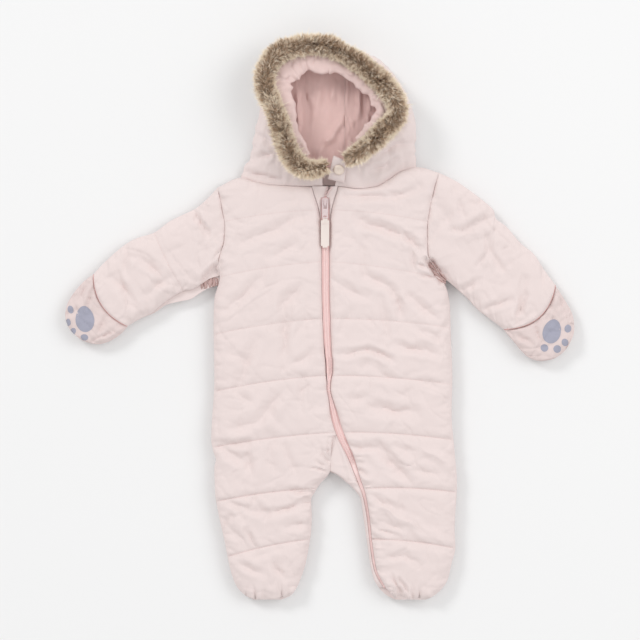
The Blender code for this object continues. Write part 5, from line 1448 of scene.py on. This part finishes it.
def blend_node(tree, mode, factor, first, second):
    """Mix of two colours."""
    node = tree.nodes.new("ShaderNodeMix")
    node.data_type = "RGBA"
    node.blend_type = mode
    fill_sockets(tree, (node.inputs[0], factor), (node.inputs[6], first), (node.inputs[7], second))
    return node.outputs[2]


def math_node(tree, operation, *values):
    """Result of a sum on values and outputs."""
    node = tree.nodes.new("ShaderNodeMath")
    node.operation = operation
    fill_sockets(tree, *zip(node.inputs, values))
    return node.outputs[0]


def noise_node(tree, place, scale, detail=3.0):
    """Soft random grey of a given scale."""
    node = tree.nodes.new("ShaderNodeTexNoise")
    fill_sockets(tree, (node.inputs["Scale"], scale), (node.inputs["Detail"], detail),
                 (node.inputs["Vector"], place))
    return node.outputs["Fac"]


def uneven_colour(tree, where, colour, darker, lighter):
    """A colour that runs from a share darker to a share lighter."""
    dark = [c * (1 - darker) for c in colour]
    light = [min(c * (1 + lighter), 1) for c in colour]
    return blend_node(tree, "MIX", where, (*dark, 1), (*light, 1))


def add_relief(tree, shader, height, strength, depth_mm):
    """Fine relief of a surface, from a grey."""
    bump = tree.nodes.new("ShaderNodeBump")
    fill_sockets(tree, (bump.inputs["Strength"], strength), (bump.inputs["Distance"], depth_mm * MM),
                 (bump.inputs["Height"], height), (shader.inputs["Normal"], bump.outputs["Normal"]))


def woven(name, colour, thread_mm, sheen, patchy, bump_mm, roughness=0.88, fuzz=0.4):
    """Woven cloth: two crossing sets of threads, fuzz, and a slightly uneven dye."""
    finish, tree, shader = shader_material(name, roughness, sheen=sheen)
    place = own_place(tree)
    waves = []
    for direction in ("X", "Y"):
        wave = tree.nodes.new("ShaderNodeTexWave")
        wave.bands_direction = direction
        fill_sockets(tree, (wave.inputs["Scale"], 2 * math.pi / (20 * thread_mm * MM)),
                     (wave.inputs["Distortion"], 1.2), (wave.inputs["Detail"], 2.0),
                     (wave.inputs["Vector"], place))
        waves.append(wave.outputs["Fac"])
    threads = math_node(tree, "MAXIMUM", *waves)
    fibre = noise_node(tree, place, 1400.0, 2.0)
    add_relief(tree, shader, math_node(tree, "MULTIPLY_ADD", fibre, fuzz, threads), 0.6, bump_mm)
    dyed = uneven_colour(tree, noise_node(tree, place, 14.0), colour, patchy, 0.6 * patchy)
    speck = blend_node(tree, "MIX", threads, (0.94, 0.93, 0.93, 1), (1.0, 1.0, 1.0, 1))
    tree.links.new(blend_node(tree, "MULTIPLY", 1.0, dyed, speck), shader.inputs["Base Color"])
    return finish


def fur_material(name, dark, middle, light):
    """Pile that runs from a dark root to a light tip, by the strands' own tone."""
    finish, tree, shader = shader_material(name, 0.7, sheen=0.15)
    tone = tree.nodes.new("ShaderNodeAttribute")
    tone.attribute_name = "tone"
    ramp = tree.nodes.new("ShaderNodeValToRGB")
    ramp.color_ramp.elements[0].color = (*dark, 1)
    ramp.color_ramp.elements[1].color = (*light, 1)
    ramp.color_ramp.elements[1].position = 0.95
    ramp.color_ramp.elements.new(0.5).color = (*middle, 1)
    tree.links.new(tone.outputs["Fac"], ramp.inputs["Fac"])
    tree.links.new(ramp.outputs["Color"], shader.inputs["Base Color"])
    return finish


def plain_material(name, colour, roughness, metallic=0.0, uneven=0.08, scale=300.0, bump_mm=0.05):
    """Metal, plastic or ink with a fine unevenness in tone and surface."""
    finish, tree, shader = shader_material(name, roughness, metallic)
    grain = noise_node(tree, own_place(tree), scale, 4.0)
    tree.links.new(uneven_colour(tree, grain, colour, uneven, uneven), shader.inputs["Base Color"])
    add_relief(tree, shader, grain, 0.3, bump_mm)
    return finish


def size_prop(name, description, default, low, high):
    """A length that a user can change, in metres."""
    return FloatProperty(name=name, description=description, default=default, min=low, max=high,
                         unit="LENGTH", precision=4)


def share_prop(name, description, default):
    """A strength that a user can change."""
    return FloatProperty(name=name, description=description, default=default, min=0, max=3,
                         subtype="FACTOR")


def count_prop(name, description, default, low, high):
    """A number of things that a user can change."""
    return IntProperty(name=name, description=description, default=default, min=low, max=high)


def colour_prop(name, description, default):
    """A colour that a user can change."""
    return FloatVectorProperty(name=name, description=description, default=default, subtype="COLOR",
                               size=3, min=0.0, max=1.0)


class SnowsuitSizes(bpy.types.PropertyGroup):
    """Sizes of the quilting, fur and zip."""
    quilt_depth: size_prop(
        "Quilting depth", "How far a stitched line is pulled into the padding", 0.0030, 0, 0.006)
    pucker_depth: size_prop(
        "Pucker depth", "Height of the small puckers beside a stitched line", 0.0005, 0, 0.002)
    crease_depth: share_prop("Creases", "Strength of the large creases", 1.95)
    wrinkle_depth: share_prop("Wrinkles", "Strength of the small chance wrinkles", 1.9)
    seam_gather: size_prop(
        "Seam gathers", "Height of the puckers that run in from a seam", 0.0015, 0, 0.004)
    stitch_pitch: size_prop("Stitch pitch", "From one stitch to the next", 0.0034, 0.002, 0.006)
    tooth_pitch: size_prop(
        "Tooth pitch", "From one zip tooth to the next on the same side", 0.0021, 0.0012, 0.004)
    fur_length: size_prop("Fur length", "Length of the longest strands", 0.0125, 0.004, 0.016)
    fur_strands: count_prop("Fur strands", "How many strands the trim has", 150000, 1000, 160000)
    fur_locks: count_prop("Fur locks", "Pointed locks the strands gather in", 8000, 100, 20000)
    ruffles: count_prop("Facing gathers", "Gathers round the hood's facing", 12, 5, 60)


class SnowsuitColours(bpy.types.PropertyGroup):
    """Colours of the cloths, fur, zip and prints."""
    shell: colour_prop("Shell", "Pale pink cotton", (0.80, 0.69, 0.67))
    mitt: colour_prop("Mitts", "Cotton of the mitts", (0.75, 0.63, 0.61))
    binding: colour_prop("Cuff binding", "Narrow binding of the cuffs", (0.70, 0.38, 0.36))
    lining: colour_prop("Lining", "Soft lining of the hood", (0.83, 0.585, 0.55))
    facing: colour_prop("Facing", "Gathered facing inside the fur", (0.80, 0.61, 0.58))
    fur_root: colour_prop("Fur root", "Dark base of the pile", (0.20, 0.125, 0.08))
    fur_middle: colour_prop("Fur middle", "Middle of the pile", (0.76, 0.55, 0.375))
    fur_tip: colour_prop("Fur tip", "Light tips of the pile", (1.0, 0.90, 0.75))
    zip_tape: colour_prop("Zip tape", "Tape beside the coil", (0.90, 0.65, 0.63))
    zip_coil: colour_prop("Zip coil", "Moulded teeth", (0.94, 0.73, 0.71))
    metal: colour_prop("Metal", "Slider and link", (0.80, 0.66, 0.66))
    tag: colour_prop("Pull tag", "Soft tag on the link", (0.82, 0.73, 0.68))
    snap: colour_prop("Snap", "Cap of the chin snap", (0.80, 0.68, 0.59))
    ink: colour_prop("Paw print", "Ink of the printed paws", (0.36, 0.36, 0.44))
    floor: colour_prop("Floor", "Pale floor", (0.85, 0.85, 0.85))


def sizes_of(context):
    """The sizes that the panel shows."""
    return context.scene.snowsuit_sizes


def colours_of(context):
    """The colours that the panel shows."""
    return context.scene.snowsuit_colours


def shared(name, build):
    """One finish for all the pieces cut from the same cloth."""
    return bpy.data.materials.get(name) or build(name)


def shell_cloth(context):
    """Cotton of the suit's outer pieces."""
    return shared("shell_cotton", lambda name: woven(name, colours_of(context).shell, *COTTON))


def thread_cloth(context):
    """Sewing thread, a shade off the shell."""
    tint = [c * f for c, f in zip(colours_of(context).shell, THREAD_TINT)]
    return shared("thread", lambda name: woven(name, tint, 0.3, 0.1, 0.02, 0.05))


class SNOWSUIT_OT_stage(bpy.types.Operator):
    """Lays the pale floor and sets the soft lights and the camera"""
    bl_idname = "snowsuit.stage"
    bl_label = "Floor, light and camera"

    def execute(self, context):
        scene = context.scene
        corners = [(x * FLOOR_HALF, y * FLOOR_HALF, -FLOOR_DROP)
                   for x, y in ((-1, -1), (1, -1), (1, 1), (-1, 1))]
        paper = plain_material("floor_paper", colours_of(context).floor, 0.9, uneven=0.004,
                               scale=3.0, bump_mm=0.01)
        placed(flat_mesh("floor", corners, [[0, 1, 2, 3]]), paper)
        world = bpy.data.worlds.new("studio")
        world.use_nodes = True
        background = world.node_tree.nodes["Background"]
        background.inputs["Color"].default_value = (1.0, 1.0, 1.0, 1)
        background.inputs["Strength"].default_value = WORLD_STRENGTH
        scene.world = world
        scene.view_settings.view_transform = "Standard"
        for name, place, size, power in LIGHTS:
            lamp = bpy.data.lights.new(name, "AREA")
            lamp.shape = "DISK"
            lamp.size = size
            lamp.energy = power
            item = bpy.data.objects.new(name, lamp)
            item.location = place
            item.rotation_euler = (-Vector(place)).to_track_quat("-Z", "Y").to_euler()
            scene.collection.objects.link(item)
        lens = bpy.data.cameras.new("camera")
        lens.sensor_width = SENSOR_MM
        lens.lens = LENS_MM
        lens.clip_end = 20.0
        camera = bpy.data.objects.new("camera", lens)
        camera.location = CAMERA_AT
        scene.collection.objects.link(camera)
        scene.camera = camera
        return {"FINISHED"}


class SNOWSUIT_OT_fronts(bpy.types.Operator):
    """Makes the quilted front panels and the crotch gusset"""
    bl_idname = "snowsuit.fronts"
    bl_label = "Fronts and gusset"

    def execute(self, context):
        THREAD_LINES.extend(make_fronts(sizes_of(context), shell_cloth(context)))
        return {"FINISHED"}


class SNOWSUIT_OT_backs(bpy.types.Operator):
    """Makes the backs and the soles"""
    bl_idname = "snowsuit.backs"
    bl_label = "Backs and soles"

    def execute(self, context):
        make_backs(shell_cloth(context))
        return {"FINISHED"}


class SNOWSUIT_OT_sleeves(bpy.types.Operator):
    """Makes both sleeves, their cuff bindings and the gathered cloth under the arms"""
    bl_idname = "snowsuit.sleeves"
    bl_label = "Sleeves"

    def execute(self, context):
        colours = colours_of(context)
        binding = woven("cuff_binding", colours.binding, 0.4, 0.1, 0.02, 0.05)
        THREAD_LINES.extend(make_sleeves(sizes_of(context), shell_cloth(context), binding))
        # Painted shade: the gathered cloth under the arms takes the lining colour, darkened to stand for
        # the deep shade in its pleats.
        painted_shade_colour = [c * UNDERARM_PAINTED_SHADE for c in colours.lining]
        make_underarms(woven("underarm_painted_shade_cotton", painted_shade_colour, *COTTON))
        return {"FINISHED"}


class SNOWSUIT_OT_mitts(bpy.types.Operator):
    """Makes the fold-over mitts and their printed paws"""
    bl_idname = "snowsuit.mitts"
    bl_label = "Mitts and prints"

    def execute(self, context):
        colours = colours_of(context)
        make_mitts(sizes_of(context), woven("mitt_cotton", colours.mitt, 0.5, 0.15, 0.03, 0.05))
        make_prints(plain_material("paw_ink", colours.ink, 0.7, uneven=0.1, scale=700.0, bump_mm=0.04))
        return {"FINISHED"}


class SNOWSUIT_OT_hood(bpy.types.Operator):
    """Makes the padded hood and its lining"""
    bl_idname = "snowsuit.hood"
    bl_label = "Hood and lining"

    def execute(self, context):
        lining = woven("lining_fleece", colours_of(context).lining, 0.8, 0.3, 0.05, 0.12, 0.95, 1.2)
        make_hood(sizes_of(context), shell_cloth(context), lining)
        return {"FINISHED"}


class SNOWSUIT_OT_facing(bpy.types.Operator):
    """Makes the gathered facing inside the fur"""
    bl_idname = "snowsuit.facing"
    bl_label = "Gathered facing"

    def execute(self, context):
        make_facing(sizes_of(context),
                    woven("facing_cotton", colours_of(context).facing, 0.5, 0.2, 0.03, 0.05))
        return {"FINISHED"}


class SNOWSUIT_OT_fur(bpy.types.Operator):
    """Makes the fur trim of the hood"""
    bl_idname = "snowsuit.fur"
    bl_label = "Fur trim"

    def execute(self, context):
        colours = colours_of(context)
        pile = fur_material("fur_pile", colours.fur_root, colours.fur_middle, colours.fur_tip)
        root = woven("fur_backing", colours.fur_root, 0.9, 0.0, 0.3, 0.3, 0.95, 1.0)
        make_fur(sizes_of(context), pile, root)
        return {"FINISHED"}


class SNOWSUIT_OT_zip(bpy.types.Operator):
    """Makes the zip's tapes, coil and teeth, and the folds beside its slider"""
    bl_idname = "snowsuit.zip"
    bl_label = "Zip"

    def execute(self, context):
        colours = colours_of(context)
        tape = woven("zip_tape_weave", colours.zip_tape, 0.7, 0.1, 0.02, 0.1)
        coil = plain_material("zip_coil_nylon", colours.zip_coil, 0.45, uneven=0.04)
        make_zip(sizes_of(context), tape, coil, shell_cloth(context))
        return {"FINISHED"}


class SNOWSUIT_OT_pull(bpy.types.Operator):
    """Finishes the slider and makes the pull's tag"""
    bl_idname = "snowsuit.pull"
    bl_label = "Slider and pull"

    def execute(self, context):
        colours = colours_of(context)
        metal = plain_material("slider_metal", colours.metal, 0.32, 0.5, uneven=0.12, scale=500.0)
        tag = woven("pull_tag_rubber", colours.tag, 0.6, 0.1, 0.02, 0.05, 0.7)
        make_pull(metal, tag, thread_cloth(context))
        return {"FINISHED"}


class SNOWSUIT_OT_chin_tab(bpy.types.Operator):
    """Makes the chin tab and its snap"""
    bl_idname = "snowsuit.chin_tab"
    bl_label = "Chin tab and snap"

    def execute(self, context):
        cap = plain_material("snap_enamel", colours_of(context).snap, 0.35, uneven=0.03)
        THREAD_LINES.extend(make_chin_tab(shell_cloth(context), cap))
        return {"FINISHED"}


class SNOWSUIT_OT_stitches(bpy.types.Operator):
    """Sews the stitches along the quilting and the chin tab"""
    bl_idname = "snowsuit.stitches"
    bl_label = "Stitches"

    def execute(self, context):
        if not THREAD_LINES:
            raise RuntimeError("make the fronts and sleeves before their stitches")
        make_stitches(THREAD_LINES, sizes_of(context), thread_cloth(context))
        THREAD_LINES.clear()
        return {"FINISHED"}


STEPS = (SNOWSUIT_OT_stage, SNOWSUIT_OT_backs, SNOWSUIT_OT_fronts, SNOWSUIT_OT_sleeves,
         SNOWSUIT_OT_mitts, SNOWSUIT_OT_hood, SNOWSUIT_OT_facing, SNOWSUIT_OT_fur, SNOWSUIT_OT_zip,
         SNOWSUIT_OT_pull, SNOWSUIT_OT_chin_tab, SNOWSUIT_OT_stitches)


class SNOWSUIT_PT_panel(bpy.types.Panel):
    """Lists the steps that dress the snowsuit"""
    bl_idname = "SNOWSUIT_PT_panel"
    bl_label = "Snowsuit"
    bl_space_type = "VIEW_3D"
    bl_region_type = "UI"
    bl_category = "Snowsuit"

    def draw(self, context):
        for group in (sizes_of(context), colours_of(context)):
            box = self.layout.box()
            for name in group.__annotations__:
                box.prop(group, name)
        for step in STEPS:
            self.layout.operator(step.bl_idname)


CLASSES = (SnowsuitSizes, SnowsuitColours, *STEPS, SNOWSUIT_PT_panel)


def register():
    for item in CLASSES:
        bpy.utils.register_class(item)
    bpy.types.Scene.snowsuit_sizes = PointerProperty(type=SnowsuitSizes)
    bpy.types.Scene.snowsuit_colours = PointerProperty(type=SnowsuitColours)


def unregister():
    del bpy.types.Scene.snowsuit_colours
    del bpy.types.Scene.snowsuit_sizes
    for item in reversed(CLASSES):
        bpy.utils.unregister_class(item)


def main():
    register()
    for step in STEPS:
        group, name = step.bl_idname.split(".")
        getattr(getattr(bpy.ops, group), name)()


if __name__ == "__main__":
    main()
